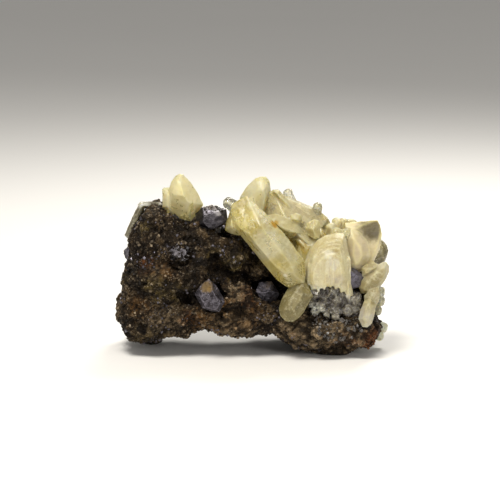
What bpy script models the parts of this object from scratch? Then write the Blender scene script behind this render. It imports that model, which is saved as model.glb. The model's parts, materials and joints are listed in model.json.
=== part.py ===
"""Galena specimen: lead-grey galena and pale yellow calcite crystals on a dark, granular piece of ore.

The frame: X runs along the long side, +Y points to the back, +Z is up. The origin is under the
middle of the specimen's box, on the surface that it stands on. Everything is worked out in
millimetres and scaled to metres as it is put in the scene.
"""

import math

import bmesh
import bpy
from mathutils import Matrix, Vector, noise

METRES = 0.001

# Driving dimensions, in millimetres
SOCKET_GAP = 0.32
ROCK_FLAT_HALF_DEPTH = 12.0
ROCK_ROUNDING = 11.0
ROCK_CENTRE_Y = 3.0
ROCK_VOXEL = 1.5
ROCK_TRIANGLES = 3700
FLOOR_Z = 0.0

# Shift that brings the middle of the finished box over the origin
FRAME_SHIFT = Vector((1.9, -2.0, 0.0))

# The rock's front outline, X and Z, clockwise from the top left
ROCK_OUTLINE = [
    (-49, 59.5), (-45, 62.0), (-40, 63.0), (-36.5, 61), (-33, 58), (-29, 56), (-24, 56),
    (-19, 54), (-13, 53.5), (-8, 50), (2, 46), (12, 42), (22, 40), (32, 38), (40, 34),
    (46, 28), (50, 22), (51.5, 14), (54, 11), (52.5, 6), (48, 3.5), (40, 1.2), (34, 0.5),
    (25, 1.5), (15, 3), (11, 5.5), (4, 7.8), (-8, 7.2), (-13, 8.2), (-22, 8.8), (-30, 7.8),
    (-37, 6.2), (-42.5, 4.2), (-47, 3.6), (-51, 5.0), (-55, 8.4), (-58.5, 11.5), (-60.4, 15),
    (-59.8, 20), (-58, 24), (-56, 27), (-57, 31), (-55, 37), (-54.5, 45), (-53.5, 52),
]

# Lumps that stand out of the rock: middle, then half sizes along X, Y and Z
ROCK_LUMPS = {
    "upper left dome": ((-42, -6, 48.6), (11.5, 13, 12.5)),
    "middle left": ((-47, -8, 33), (10, 12, 11)),
    "lower left": ((-45, -8, 17), (14, 14, 11)),
    "middle bulge": ((-28, -8, 39), (13, 12, 12)),
    "right bulge": ((-12, -6, 42), (11, 10, 9)),
    "olive lump": ((-8, -12, 38), (6.5, 7, 7)),
    "ledge": ((-7, -12, 28), (13, 11.5, 5)),
    "lower band": ((-10, -12.5, 17), (25, 10, 6)),
    "right foot mass": ((30, -13, 12), (23, 12, 10)),
    "right edge": ((43, -7, 13), (10, 12, 10)),
    "cluster seat": ((30, 3, 29), (22, 15, 13)),
    "back left": ((-30, 21, 30), (24, 10, 20)),
    "back right": ((16, 21, 22), (27, 10, 17)),
    "back top": ((-4, 17, 42), (14, 9, 9)),
    "left foot": ((-45, 14, 4), (7, 10.5, 6)),
    "front foot": ((35, -5.5, 3.4), (12, 9, 5)),
    "back foot": ((23, 23.5, 4.5), (11, 8, 6.5)),
}

# Hollows sunk into the rock: middle, half sizes, then the lean of the long axis in degrees
ROCK_HOLLOWS = {
    "cavity": ((4, -21, 31), (19, 20, 6.5), 20),
    "cavity head": ((3, -19, 40), (9, 15, 5), 48),
    "cavity left": ((-16.5, -21, 37.5), (3.6, 9, 5.5), 14),
    "left cleft": ((-26, -24, 26), (9, 11, 2.6), 24),
    "foot pit": ((-10, -25, 22.5), (9, 8, 1.8), -6),
    "back pit": ((-8, 34, 30), (13, 10, 6), -24),
    "back notch": ((34, 32, 32), (9, 9, 6), 30),
    "right pit": ((57, 10, 27), (7, 9, 6), 0),
}

# The big calcite cluster's crystals: each runs from its foot to its tip, so wide across and so thick
# from front to back, with a kind of end, and may be spun about its own length by some degrees
CLUSTER = {
    "core": dict(foot=(6, 3, 46), tip=(45, 3, 38), wide=21, thick=20, end="nail"),
    "core front": dict(foot=(22, 2, 44), tip=(27, -13, 40), wide=22, thick=19, end="round"),
    "long upper": dict(foot=(5, -17, 47.5), tip=(-10.8, -11, 65), wide=17, thick=14, end="nail", spin=43),
    "long lower": dict(foot=(3, -16, 50), tip=(19.5, -22.5, 30.3), wide=15.6, thick=14, end="round"),
    "long corner": dict(foot=(-3, -9, 59), tip=(-15.4, -9.5, 51.8), wide=12, thick=10, end="nail", spin=10),
    "upper tip": dict(foot=(-4.2, 1, 53), tip=(3.7, 4, 74.3), wide=13.2, thick=11, end="blunt", spin=20),
    "roof": dict(foot=(1, 7, 61.2), tip=(27, 4, 54.2), wide=14, thick=13, end="nail", spin=20),
    "roof top": dict(foot=(3.5, 7, 59.4), tip=(19.5, 6, 60.6), wide=8, thick=9, end="blunt"),
    "glassy": dict(foot=(15.8, 9, 59), tip=(12.8, 11, 68.0), wide=5, thick=5, end="bud"),
    "glassy left": dict(foot=(-6, 0, 60), tip=(-13.6, 1.5, 64.2), wide=5, thick=5, end="bud"),
    "small blob": dict(foot=(21, -1, 56), tip=(15.4, -11, 59.4), wide=5.6, thick=4.8, end="bud"),
    "front knob": dict(foot=(27, -3, 51.6), tip=(22.8, -15.8, 54.3), wide=9.4, thick=8.6, end="round"),
    "top finger": dict(foot=(25.2, 2, 53.5), tip=(26.8, 2, 63.6), wide=4.6, thick=4.4, end="bud"),
    "brown small": dict(foot=(28.6, 4, 49), tip=(29.6, 5, 56.4), wide=4.8, thick=4.8, end="bud"),
    "comb one": dict(foot=(31.6, -3, 47), tip=(31.9, -4, 55.6), wide=4.8, thick=5, end="bud"),
    "comb two": dict(foot=(34.2, 0, 47), tip=(34.4, 0, 57.2), wide=4.8, thick=5, end="bud"),
    "comb three": dict(foot=(37.0, -1, 46), tip=(37.0, -1, 57.2), wide=4.6, thick=5, end="bud"),
    "comb four": dict(foot=(39.8, 1, 46), tip=(40.4, 2, 56.4), wide=7, thick=7, end="nail"),
    "olive": dict(foot=(41.0, -6, 36.5), tip=(50.6, 0, 57.6), wide=15, thick=13, end="blunt", spin=50),
    "olive shoulder": dict(foot=(40, -4, 40), tip=(44.4, -2, 56.2), wide=13, thick=12, end="nail"),
    "brown back": dict(foot=(42, 6, 29), tip=(54.6, 9, 45.6), wide=14, thick=10, end="blunt", spin=15),
    "barrel": dict(foot=(29.6, -13.5, 31.0), tip=(28.4, -8.0, 53.0), wide=21.4, thick=20, end="dome"),
    "barrel far left": dict(foot=(21.2, -11, 38), tip=(20.4, -17.6, 29.0), wide=6.4, thick=7, end="round"),
    "barrel left": dict(foot=(24.2, -13, 40), tip=(23.8, -21.4, 27.0), wide=6.8, thick=7, end="blunt"),
    "barrel middle left": dict(foot=(27.8, -15, 40), tip=(27.8, -23.8, 28.4), wide=5.4, thick=6, end="bud"),
    "barrel middle": dict(foot=(31.0, -15, 40), tip=(31.6, -24.0, 31.6), wide=5.4, thick=6, end="nail"),
    "barrel middle right": dict(foot=(33.8, -14, 40), tip=(34.8, -23.6, 29.6), wide=5.2, thick=6, end="bud"),
    "barrel inner right": dict(foot=(34.6, -12, 40), tip=(37.6, -22.0, 26.2), wide=4.8, thick=6, end="nail"),
    "barrel right": dict(foot=(36.4, -11, 43), tip=(40.0, -21.0, 23.2), wide=6.6, thick=6.5, end="blunt"),
    "amber": dict(foot=(22, 0, 42), tip=(16.5, -8.5, 50.5), wide=11, thick=9, end="nail"),
    "bridge": dict(foot=(22, -4, 51), tip=(0, -10, 57), wide=12, thick=11, end="nail", spin=30),
    "low finger": dict(foot=(23.5, -17, 34), tip=(11.4, -28, 18.0), wide=9.8, thick=8, end="round"),
    "right small": dict(foot=(42, -4, 37), tip=(51, -8.0, 37.6), wide=5, thick=5, end="nail"),
    "back left": dict(foot=(8, 6, 54), tip=(2, 19, 66), wide=10, thick=9, end="tooth"),
    "back middle": dict(foot=(22, 6, 46), tip=(25, 23, 58), wide=11, thick=10, end="tooth", spin=20),
    "back right": dict(foot=(38, 6, 40), tip=(44, 21, 50), wide=10, thick=9, end="blunt"),
}

LEFT_PAIR = {
    "large": dict(foot=(-27.6, -8, 53.0), tip=(-33.4, 0, 76.8), wide=16.8, thick=14, end="tooth", spin=8,
                  waist=0.44),
    "small": dict(foot=(-36.2, -1.5, 60), tip=(-38.6, 0, 71.0), wide=5.4, thick=5, end="nail"),
}

LEFT_PLATE = {
    "upper": dict(foot=(-38, 6, 58.5), tip=(-51.8, 6, 61.4), wide=6.0, thick=6, end="nail"),
    "lower": dict(foot=(-48.0, 5, 63.5), tip=(-55.4, 4, 46.6), wide=6.6, thick=6, end="nail", spin=30),
}

RIGHT_BLADES = {
    "upper": dict(foot=(43.0, -15, 27.0), tip=(55.2, -12, 40.2), wide=7.4, thick=6, end="round"),
    "middle": dict(foot=(44.8, -18, 22), tip=(50.8, -18.5, 31.6), wide=7.2, thick=6, end="nail"),
    "lower": dict(foot=(48.2, -19, 27), tip=(44.0, -24.5, 14.4), wide=7.6, thick=6, end="nail", spin=30),
}

UPPER_KNOBS = {
    "top": dict(foot=(48, 0, 25), tip=(54.6, -3.5, 25.4), wide=5.4, thick=6, end="bud"),
    "middle": dict(foot=(47.6, 0, 22), tip=(54.6, -3.5, 21.4), wide=5, thick=6, end="bud"),
    "bottom": dict(foot=(47, -1, 18.5), tip=(53.4, -4, 17.0), wide=4.6, thick=5, end="bud"),
}

LOWER_KNOBS = {
    "top": dict(foot=(48.6, 3, 10.6), tip=(56.2, 1, 8.6), wide=5.2, thick=6, end="bud"),
    "bottom": dict(foot=(47, 4, 7), tip=(54.8, 3, 4.4), wide=4.8, thick=6, end="bud"),
}

GREY_DRUSE = {
    "crust": dict(foot=(23, -12, 23), tip=(45, -13, 24), wide=10, thick=14, end="round"),
    "dome": dict(foot=(34.5, -14, 26.5), tip=(34.4, -25.2, 26.2), wide=8, thick=8, end="round"),
    "dome side": dict(foot=(38, -13, 23), tip=(38.6, -22.6, 20.8), wide=5.6, thick=5.6, end="nail"),
    "knob one": dict(foot=(25, -14, 24.5), tip=(22.4, -22.4, 24.2), wide=4.2, thick=4.2, end="bud"),
    "knob two": dict(foot=(26, -14, 22.5), tip=(24.4, -23.6, 20.8), wide=4.6, thick=4.4, end="bud"),
    "knob three": dict(foot=(27, -14, 24), tip=(27.4, -23.8, 22.6), wide=4.8, thick=4.8, end="bud"),
    "knob four": dict(foot=(29, -14, 22), tip=(29.6, -23.2, 19.8), wide=4.0, thick=4.0, end="nail"),
    "knob five": dict(foot=(40, -13, 25), tip=(41.8, -21.6, 25.6), wide=5.0, thick=5.0, end="nail"),
    "knob six": dict(foot=(41, -13, 23), tip=(42.2, -20.8, 21.2), wide=4.6, thick=4.6, end="bud"),
    "knob seven": dict(foot=(33, -14, 21), tip=(33.4, -22.6, 18.4), wide=4.4, thick=4.4, end="bud"),
}

# Galena crystals: middle, half size of the cube, how far its corners are cut back, and the degrees
# it is turned about Z, then Y, then X
GALENAS = {
    "galena_top": dict(middle=(-18.6, -4.5, 57.6), half=4.3, corner=1.22, turn=(42, 4, 8)),
    "galena_front": dict(middle=(-18.9, -19.6, 27.2), half=4.9, corner=1.25, turn=(4, 43, 26)),
    "galena_hollow": dict(middle=(5.0, -9.0, 27.2), half=4.2, corner=1.25, turn=(28, -18, 30)),
    "galena_right": dict(middle=(41.0, -11.5, 33.4), half=4.0, corner=1.35, turn=(18, 35, 10)),
    "galena_left_edge": dict(middle=(-53.2, -4.0, 42.4), half=2.4, corner=1.30, turn=(30, 10, 20)),
    "galena_flush": dict(middle=(-31.6, -17.6, 44.4), half=3.3, corner=1.45, turn=(10, 40, 12)),
    "galena_back": dict(middle=(-34.0, 27.0, 46.0), half=5.0, corner=1.25, turn=(12, 28, 15)),
}

# Calcite ends: rings of faces as (lean from the axis, number of faces, first bearing)
END_RINGS = {
    "round": [(68, 6, 0), (46, 6, 30), (22, 5, 10)],
    "dome": [(74, 9, 0), (56, 8, 20), (36, 7, 0), (15, 4, 10)],
    "blunt": [(72, 5, 12), (58, 5, 48), (38, 4, 0), (16, 3, 30)],
    "nail": [(58, 3, 30), (74, 3, 90), (24, 3, 0)],
    "bud": [(60, 5, 0), (26, 3, 20)],
}
END_HEIGHTS = {"round": 0.62, "dome": 0.5, "blunt": 0.95, "nail": 0.42, "bud": 0.55}
SIDE_FACES = 7
SMALL_SIDE_FACES = 6
SMALL_RADIUS = 3.0
SIDE_LEAN = 86.0
TOOTH_BEARINGS = (-20, 20, 100, 140, 220, 260)
TOOTH_BLUNT = [(40, 3, 60), (14, 4, 20)]
TOOTH_SHOULDER = [(84, 6, 30), (73, 6, 0)]

# A dogtooth's faces meet this many lengths above its foot, and draw in below its waist this fast
TOOTH_POINT = 1.04
TOOTH_TAPER = 1.2
TOOTH_SHOULDER_WIDTH = 1.04
TOOTH_BLUNT_WIDTH = 0.34
TOOTH_BLUNT_HEIGHT = 0.12

# How unevenly a galena crystal grew along its cube faces and its corner faces
CUBE_UNEVENNESS = 0.05
CORNER_UNEVENNESS = 0.04

# The rock's surface: each swell's length, height and place in the noise, then its knobs
ROCK_SWELLS = [(14.0, 1.9, (3.1, 7.7, 1.3)), (6.5, 1.3, (11.0, 2.0, 5.0)), (3.1, 0.5, (4.0, 9.0, 2.0))]
KNOB_SPACING = 5.2
KNOB_HEIGHT = 1.7
KNOB_LEVEL = 0.42

# Each piece's colour, roughness and metallic value
ORE = ((0.075, 0.060, 0.048), 0.85, 0.0)
PALE_CALCITE = ((0.82, 0.76, 0.50), 0.35, 0.0)
GREY_CALCITE = ((0.52, 0.50, 0.46), 0.40, 0.0)
LEAD_GREY = ((0.16, 0.16, 0.19), 0.38, 0.9)


def clear_scene():
    for old in list(bpy.data.objects):
        bpy.data.objects.remove(old, do_unlink=True)


def make_collection(name):
    collection = bpy.data.collections.new(name)
    bpy.context.scene.collection.children.link(collection)
    return collection


def make_material(name, finish):
    colour, roughness, metallic = finish
    material = bpy.data.materials.new(name)
    material.use_nodes = True
    shader = material.node_tree.nodes["Principled BSDF"]
    shader.inputs["Base Color"].default_value = (*colour, 1.0)
    shader.inputs["Roughness"].default_value = roughness
    shader.inputs["Metallic"].default_value = metallic
    return material


def add_object(name, mesh, collection):
    made = bpy.data.objects.new(name, mesh)
    collection.objects.link(made)
    return made


def object_from_bmesh(name, shape, collection):
    bmesh.ops.recalc_face_normals(shape, faces=shape.faces)
    mesh = bpy.data.meshes.new(name)
    shape.to_mesh(mesh)
    shape.free()
    return add_object(name, mesh, collection)


def bake(made):
    """Turns what the modifiers show into the object's own mesh."""
    bpy.context.view_layer.update()
    graph = bpy.context.evaluated_depsgraph_get()
    mesh = bpy.data.meshes.new_from_object(made.evaluated_get(graph))
    made.modifiers.clear()
    made.data = mesh
    return made


def drop_crumbs(made):
    """Keeps only the largest closed body, where a cut has left crumbs."""
    shape = bmesh.new()
    shape.from_mesh(made.data)
    left = set(shape.verts)
    bodies = []
    while left:
        body = {left.pop()}
        rim = list(body)
        while rim:
            at = rim.pop()
            near = {edge.other_vert(at) for edge in at.link_edges} & left
            body |= near
            left -= near
            rim += near
        bodies.append(body)
    bodies.sort(key=len)
    for body in bodies[:-1]:
        bmesh.ops.delete(shape, geom=list(body), context="VERTS")
    shape.to_mesh(made.data)
    shape.free()


def combine(made, others, operation):
    for other in others:
        modifier = made.modifiers.new(other.name, "BOOLEAN")
        modifier.operation = operation
        modifier.solver = "EXACT"
        modifier.object = other
    bake(made)
    if operation == "DIFFERENCE":
        drop_crumbs(made)
    for other in others:
        bpy.data.objects.remove(other, do_unlink=True)
    return made


def cut_to_planes(shape, planes):
    """Cuts a convex solid back to every plane, given as a unit normal and a distance."""
    for normal, distance in planes:
        geometry = shape.verts[:] + shape.edges[:] + shape.faces[:]
        cut = bmesh.ops.bisect_plane(
            shape, geom=geometry, plane_co=normal * distance, plane_no=normal, clear_outer=True
        )
        rim = [item for item in cut["geom_cut"] if isinstance(item, bmesh.types.BMEdge)]
        if rim:
            bmesh.ops.holes_fill(shape, edges=rim)
    bmesh.ops.remove_doubles(shape, verts=shape.verts, dist=0.02)


def tilted(lean, bearing):
    lean = math.radians(lean)
    bearing = math.radians(bearing)
    return Vector((math.sin(lean) * math.cos(bearing), math.sin(lean) * math.sin(bearing), math.cos(lean)))


def ring_planes(rings, radius, cap, length, spin):
    """Planes that touch the rounded end of a crystal, whose cap is half an ellipsoid."""
    planes = []
    for lean, count, first in rings:
        for step in range(count):
            normal = tilted(lean, first + spin + 360 * step / count)
            reach = math.hypot(radius * math.hypot(normal.x, normal.y), cap * normal.z)
            planes.append((normal, reach + normal.z * (length - cap)))
    return planes


def tooth_planes(radius, length, waist, spin):
    """Six steep faces to the tip and six to a point below the foot, as on a dogtooth crystal."""
    planes = []
    point = length * TOOTH_POINT
    above = point - waist * length
    below = waist * length * TOOTH_TAPER
    for bearing in TOOTH_BEARINGS:
        up = Vector((*tilted(90, bearing + spin).xy * above, radius)).normalized()
        planes.append((up, up.z * point))
        down = Vector((*tilted(90, bearing + spin + 60).xy * below, -radius)).normalized()
        planes.append((down, -down.z * (below - waist * length)))
    shoulder_width = radius * TOOTH_SHOULDER_WIDTH
    planes += ring_planes(TOOTH_SHOULDER, shoulder_width, length * (1 - waist), length, spin)
    blunt_width = radius * TOOTH_BLUNT_WIDTH
    return planes + ring_planes(TOOTH_BLUNT, blunt_width, length * TOOTH_BLUNT_HEIGHT, length, spin)


def side_planes(radius, spin):
    planes = []
    count = SIDE_FACES if radius > SMALL_RADIUS else SMALL_SIDE_FACES
    for step in range(count):
        planes.append((tilted(SIDE_LEAN, spin + 360 * step / count), radius))
    return planes


def crystal(name, collection, grow, foot, tip, wide, thick, end, spin=0.0, waist=0.35):
    """One calcite crystal from its foot to its tip. Grow moves every face out, to cut a socket."""
    foot, tip = Vector(foot), Vector(tip)
    axis = (tip - foot).normalized()
    length = (tip - foot).length
    radius = wide / 2
    if end == "tooth":
        planes = tooth_planes(radius, length, waist, spin)
    else:
        cap = min(length * 0.9, wide * END_HEIGHTS[end])
        planes = side_planes(radius, spin) + ring_planes(END_RINGS[end], radius, cap, length, spin)
    planes.append((Vector((0, 0, -1)), 0.0))
    squash = thick / wide
    clearance = grow / min(1.0, squash)
    shape = bmesh.new()
    bmesh.ops.create_cube(shape, size=4 * max(length, wide))
    cut_to_planes(shape, [(normal, distance + clearance) for normal, distance in planes])
    across = axis.cross(Vector((0, 1, 0)))
    across = across.normalized() if across.length > 0.1 else Vector((1, 0, 0))
    depth = axis.cross(across)
    turn = Matrix((across, depth, axis)).transposed().to_4x4()
    flatten = Matrix.Diagonal((1, squash, 1, 1))
    bmesh.ops.transform(shape, verts=shape.verts, matrix=Matrix.Translation(foot) @ turn @ flatten)
    return object_from_bmesh(name, shape, collection)


def crystal_group(name, collection, crystals, grow=0.0):
    """Crystals that grew into each other, joined in one solid."""
    made = [crystal(f"{name} {key}", collection, grow, **facts) for key, facts in crystals.items()]
    group = combine(made[0], made[1:], "UNION")
    group.name = name
    return group


def galena(name, collection, grow, middle, half, corner, turn):
    """A cube with its eight corners cut back, turned as it grew."""
    planes = []
    for axis in range(3):
        for side in (-1, 1):
            normal = Vector((0, 0, 0))
            normal[axis] = side
            planes.append((normal, half * (1 + CUBE_UNEVENNESS * side)))
    for index in range(8):
        signs = [1 if index & (1 << bit) else -1 for bit in range(3)]
        normal = Vector(signs).normalized()
        planes.append((normal, half * corner * (1 + CORNER_UNEVENNESS * signs[0] * signs[1])))
    shape = bmesh.new()
    bmesh.ops.create_cube(shape, size=6 * half)
    cut_to_planes(shape, [(normal, distance + grow) for normal, distance in planes])
    place = Matrix.Translation(Vector(middle))
    for axis, angle in zip("XYZ", reversed(turn)):
        place = place @ Matrix.Rotation(math.radians(angle), 4, axis)
    bmesh.ops.transform(shape, verts=shape.verts, matrix=place)
    return object_from_bmesh(name, shape, collection)


def outline_slab(collection):
    """A slab with the rock's front outline and rounded rims."""
    curve = bpy.data.curves.new("outline", "CURVE")
    curve.dimensions = "2D"
    curve.fill_mode = "BOTH"
    curve.extrude = ROCK_FLAT_HALF_DEPTH
    curve.bevel_depth = ROCK_ROUNDING
    curve.bevel_resolution = 3
    curve.offset = -ROCK_ROUNDING
    spline = curve.splines.new("POLY")
    spline.points.add(len(ROCK_OUTLINE) - 1)
    for point, (x, z) in zip(spline.points, ROCK_OUTLINE):
        point.co = (x, z, 0, 1)
    spline.use_cyclic_u = True
    drawn = add_object("outline", curve, collection)
    bpy.context.view_layer.update()
    graph = bpy.context.evaluated_depsgraph_get()
    mesh = bpy.data.meshes.new_from_object(drawn.evaluated_get(graph))
    mesh.transform(Matrix.Translation((0, ROCK_CENTRE_Y, 0)) @ Matrix.Rotation(math.radians(90), 4, "X"))
    bpy.data.objects.remove(drawn, do_unlink=True)
    return mesh


def ellipsoid(shape, middle, half_sizes, lean=0.0, subdivisions=3):
    place = Matrix.Translation(Vector(middle)) @ Matrix.Rotation(math.radians(lean), 4, "Y")
    place = place @ Matrix.Diagonal((*half_sizes, 1))
    bmesh.ops.create_icosphere(shape, subdivisions=subdivisions, radius=1, matrix=place)


def voxel_remesh(made, size):
    modifier = made.modifiers.new("voxels", "REMESH")
    modifier.mode = "VOXEL"
    modifier.voxel_size = size
    return bake(made)


def rock_height(at):
    """How far the rock's surface stands out at a point: broad swells and broken, rounded knobs."""
    height = KNOB_HEIGHT * (KNOB_LEVEL - noise.voronoi(at / KNOB_SPACING)[0][0])
    for length, swell, place in ROCK_SWELLS:
        height += swell * noise.noise(at / length + Vector(place))
    return height


def roughen(mesh):
    moves = [vertex.normal * rock_height(vertex.co) for vertex in mesh.vertices]
    for vertex, move in zip(mesh.vertices, moves):
        vertex.co += move


def rock_blank(collection):
    """The piece of ore before the crystals' sockets are cut."""
    shape = bmesh.new()
    slab = outline_slab(collection)
    shape.from_mesh(slab)
    bmesh.ops.remove_doubles(shape, verts=shape.verts, dist=0.01)
    for middle, half_sizes in ROCK_LUMPS.values():
        ellipsoid(shape, middle, half_sizes)
    rock = object_from_bmesh("matrix", shape, collection)
    voxel_remesh(rock, ROCK_VOXEL)
    hollows = []
    for name, (middle, half_sizes, lean) in ROCK_HOLLOWS.items():
        shape = bmesh.new()
        ellipsoid(shape, middle, half_sizes, lean)
        hollows.append(object_from_bmesh(name, shape, collection))
    combine(rock, hollows, "DIFFERENCE")
    voxel_remesh(rock, ROCK_VOXEL)
    roughen(rock.data)
    voxel_remesh(rock, ROCK_VOXEL)
    modifier = rock.modifiers.new("fewer faces", "DECIMATE")
    modifier.ratio = ROCK_TRIANGLES / (2 * len(rock.data.polygons))
    bake(rock)
    shape = bmesh.new()
    shape.from_mesh(rock.data)
    geometry = shape.verts[:] + shape.edges[:] + shape.faces[:]
    cut = bmesh.ops.bisect_plane(
        shape, geom=geometry, plane_co=(0, 0, FLOOR_Z), plane_no=(0, 0, -1), clear_outer=True
    )
    rim = [item for item in cut["geom_cut"] if isinstance(item, bmesh.types.BMEdge)]
    bmesh.ops.holes_fill(shape, edges=rim)
    bmesh.ops.triangulate(shape, faces=shape.faces)
    shape.to_mesh(rock.data)
    shape.free()
    return rock


def grown(collection, *groups):
    """Copies of the given crystal groups, grown by the socket gap, for cutting their neighbours."""
    made = []
    for group in groups:
        if "half" in group:
            made.append(galena("grown", collection, SOCKET_GAP, **group))
        else:
            made.append(crystal_group("grown", collection, group, SOCKET_GAP))
    return made


def place_in_frame(made, finish):
    """Brings a piece to metres and to the part's own frame, with its material and flat faces."""
    made.data.transform(Matrix.Scale(METRES, 4) @ Matrix.Translation(FRAME_SHIFT))
    made.data.materials.clear()
    made.data.materials.append(make_material(made.name, finish))
    made.data.shade_flat()


def main():
    clear_scene()
    parts = make_collection("galena specimen")

    cluster = crystal_group("calcite_cluster", parts, CLUSTER)
    left_pair = crystal_group("calcite_left_pair", parts, LEFT_PAIR)
    left_plate = crystal_group("calcite_left_plate", parts, LEFT_PLATE)
    lower_knobs = crystal_group("calcite_lower_knobs", parts, LOWER_KNOBS)
    blades = crystal_group("calcite_right_blades", parts, RIGHT_BLADES)
    combine(blades, grown(parts, CLUSTER), "DIFFERENCE")
    upper_knobs = crystal_group("calcite_upper_knobs", parts, UPPER_KNOBS)
    combine(upper_knobs, grown(parts, CLUSTER, RIGHT_BLADES), "DIFFERENCE")
    druse = crystal_group("calcite_grey_druse", parts, GREY_DRUSE)
    combine(druse, grown(parts, CLUSTER, RIGHT_BLADES), "DIFFERENCE")

    galenas = {name: galena(name, parts, 0.0, **facts) for name, facts in GALENAS.items()}
    combine(galenas["galena_top"], grown(parts, CLUSTER, LEFT_PAIR), "DIFFERENCE")
    combine(galenas["galena_hollow"], grown(parts, CLUSTER), "DIFFERENCE")
    combine(galenas["galena_right"], grown(parts, CLUSTER, RIGHT_BLADES, GREY_DRUSE), "DIFFERENCE")

    rock = rock_blank(parts)
    calcites = (CLUSTER, RIGHT_BLADES, GREY_DRUSE, LEFT_PAIR, LEFT_PLATE, UPPER_KNOBS, LOWER_KNOBS)
    combine(rock, grown(parts, *calcites, *GALENAS.values()), "DIFFERENCE")

    place_in_frame(rock, ORE)
    for made in (cluster, left_pair, left_plate, lower_knobs, blades, upper_knobs):
        place_in_frame(made, PALE_CALCITE)
    place_in_frame(druse, GREY_CALCITE)
    for made in galenas.values():
        place_in_frame(made, LEAD_GREY)


main()
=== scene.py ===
import math

import bpy
import numpy as np
from mathutils import Matrix, Vector
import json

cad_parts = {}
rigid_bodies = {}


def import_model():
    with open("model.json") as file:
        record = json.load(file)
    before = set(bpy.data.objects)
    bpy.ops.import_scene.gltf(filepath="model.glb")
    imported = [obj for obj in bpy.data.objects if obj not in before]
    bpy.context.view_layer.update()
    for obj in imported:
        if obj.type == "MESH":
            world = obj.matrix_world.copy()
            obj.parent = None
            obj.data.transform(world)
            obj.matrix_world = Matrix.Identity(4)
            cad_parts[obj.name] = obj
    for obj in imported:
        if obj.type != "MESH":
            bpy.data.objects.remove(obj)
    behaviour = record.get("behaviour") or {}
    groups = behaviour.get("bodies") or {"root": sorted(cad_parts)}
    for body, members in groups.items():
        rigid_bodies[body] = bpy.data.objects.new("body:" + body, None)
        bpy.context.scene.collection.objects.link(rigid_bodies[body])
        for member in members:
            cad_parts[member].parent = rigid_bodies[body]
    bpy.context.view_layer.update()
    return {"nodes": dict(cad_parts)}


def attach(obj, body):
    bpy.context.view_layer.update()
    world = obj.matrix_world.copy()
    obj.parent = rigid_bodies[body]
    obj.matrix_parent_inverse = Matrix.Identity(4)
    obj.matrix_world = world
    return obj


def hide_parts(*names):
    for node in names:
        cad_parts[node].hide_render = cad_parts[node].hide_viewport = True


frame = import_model()
print("frame loaded:", len(frame["nodes"]), "nodes")

# everything is modelled in millimetres and scaled to metres at the end
toMetres = 0.001
frameShift = Vector((1.9, -2.0, 0.0))


# small helpers

def deselectAll():
    if bpy.context.object and bpy.context.object.mode != "OBJECT":
        bpy.ops.object.mode_set(mode="OBJECT")
    bpy.ops.object.select_all(action="DESELECT")


def pick(thing):
    deselectAll()
    thing.select_set(True)
    bpy.context.view_layer.objects.active = thing
    return thing


def applyModifiers(thing):
    pick(thing)
    for modifier in list(thing.modifiers):
        bpy.ops.object.modifier_apply(modifier=modifier.name)
    return thing


def joinAll(things, name):
    pick(things[0])
    for thing in things[1:]:
        thing.select_set(True)
    if len(things) > 1:
        bpy.ops.object.join()
    joined = bpy.context.object
    joined.name = name
    joined.data.name = name
    return joined


def remeshTo(thing, voxel, smoothing):
    remesh = thing.modifiers.new("voxels", "REMESH")
    remesh.mode = "VOXEL"
    remesh.voxel_size = voxel
    smooth = thing.modifiers.new("softened", "SMOOTH")
    smooth.factor = 0.5
    smooth.iterations = smoothing
    return applyModifiers(thing)


def copyOfNode(node, name):
    made = bpy.data.objects.new(name, frame["nodes"][node].data.copy())
    bpy.context.scene.collection.objects.link(made)
    made.data.materials.clear()
    made.data.transform(Matrix.Scale(1 / toMetres, 4))
    pick(made)
    bpy.ops.object.mode_set(mode="EDIT")
    bpy.ops.mesh.select_all(action="SELECT")
    bpy.ops.mesh.remove_doubles(threshold=0.001)
    bpy.ops.object.mode_set(mode="OBJECT")
    return made


def finishPiece(piece, material, nodes=(), smooth=True):
    piece.data.transform(Matrix.Scale(toMetres, 4))
    piece.data.materials.clear()
    piece.data.materials.append(material)
    pick(piece)
    if smooth:
        bpy.ops.object.shade_smooth()
    else:
        bpy.ops.object.shade_flat()
    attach(piece, "root")
    if nodes:
        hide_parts(*nodes)
    return piece


# node helpers

def addNode(tree, kind, inputs=None, **settings):
    made = tree.nodes.new(kind)
    for name, value in settings.items():
        setattr(made, name, value)
    for name, value in (inputs or {}).items():
        socket = made.inputs[name]
        if isinstance(value, bpy.types.NodeSocket):
            tree.links.new(value, socket)
        else:
            socket.default_value = value
    return made


def maths(tree, operation, first, second=0.0):
    return addNode(tree, "ShaderNodeMath", {0: first, 1: second}, operation=operation).outputs[0]


def plus(tree, first, second):
    return maths(tree, "ADD", first, second)


def minus(tree, first, second):
    return maths(tree, "SUBTRACT", first, second)


def times(tree, first, second):
    return maths(tree, "MULTIPLY", first, second)


def vectors(tree, operation, first, second):
    return addNode(tree, "ShaderNodeVectorMath", {0: first, 1: second}, operation=operation).outputs[0]


def scaled(tree, vector, factor):
    return addNode(tree, "ShaderNodeVectorMath", operation="SCALE", inputs={0: vector, "Scale": factor}).outputs[0]


def lengthOf(tree, vector):
    return addNode(tree, "ShaderNodeVectorMath", {0: vector}, operation="LENGTH").outputs["Value"]


# vector divided by a size, then stretched along each axis
def shrunk(tree, vector, size, stretch=None):
    factor = maths(tree, "DIVIDE", 1.0, size) if isinstance(size, bpy.types.NodeSocket) else 1.0 / size
    vector = scaled(tree, vector, factor)
    return vectors(tree, "MULTIPLY", vector, stretch) if stretch else vector


def spread(tree, value, low, high, first=0.0, last=1.0):
    inputs = {"Value": value, "From Min": low, "From Max": high, "To Min": first, "To Max": last}
    return addNode(tree, "ShaderNodeMapRange", inputs, interpolation_type="SMOOTHSTEP").outputs[0]


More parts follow.
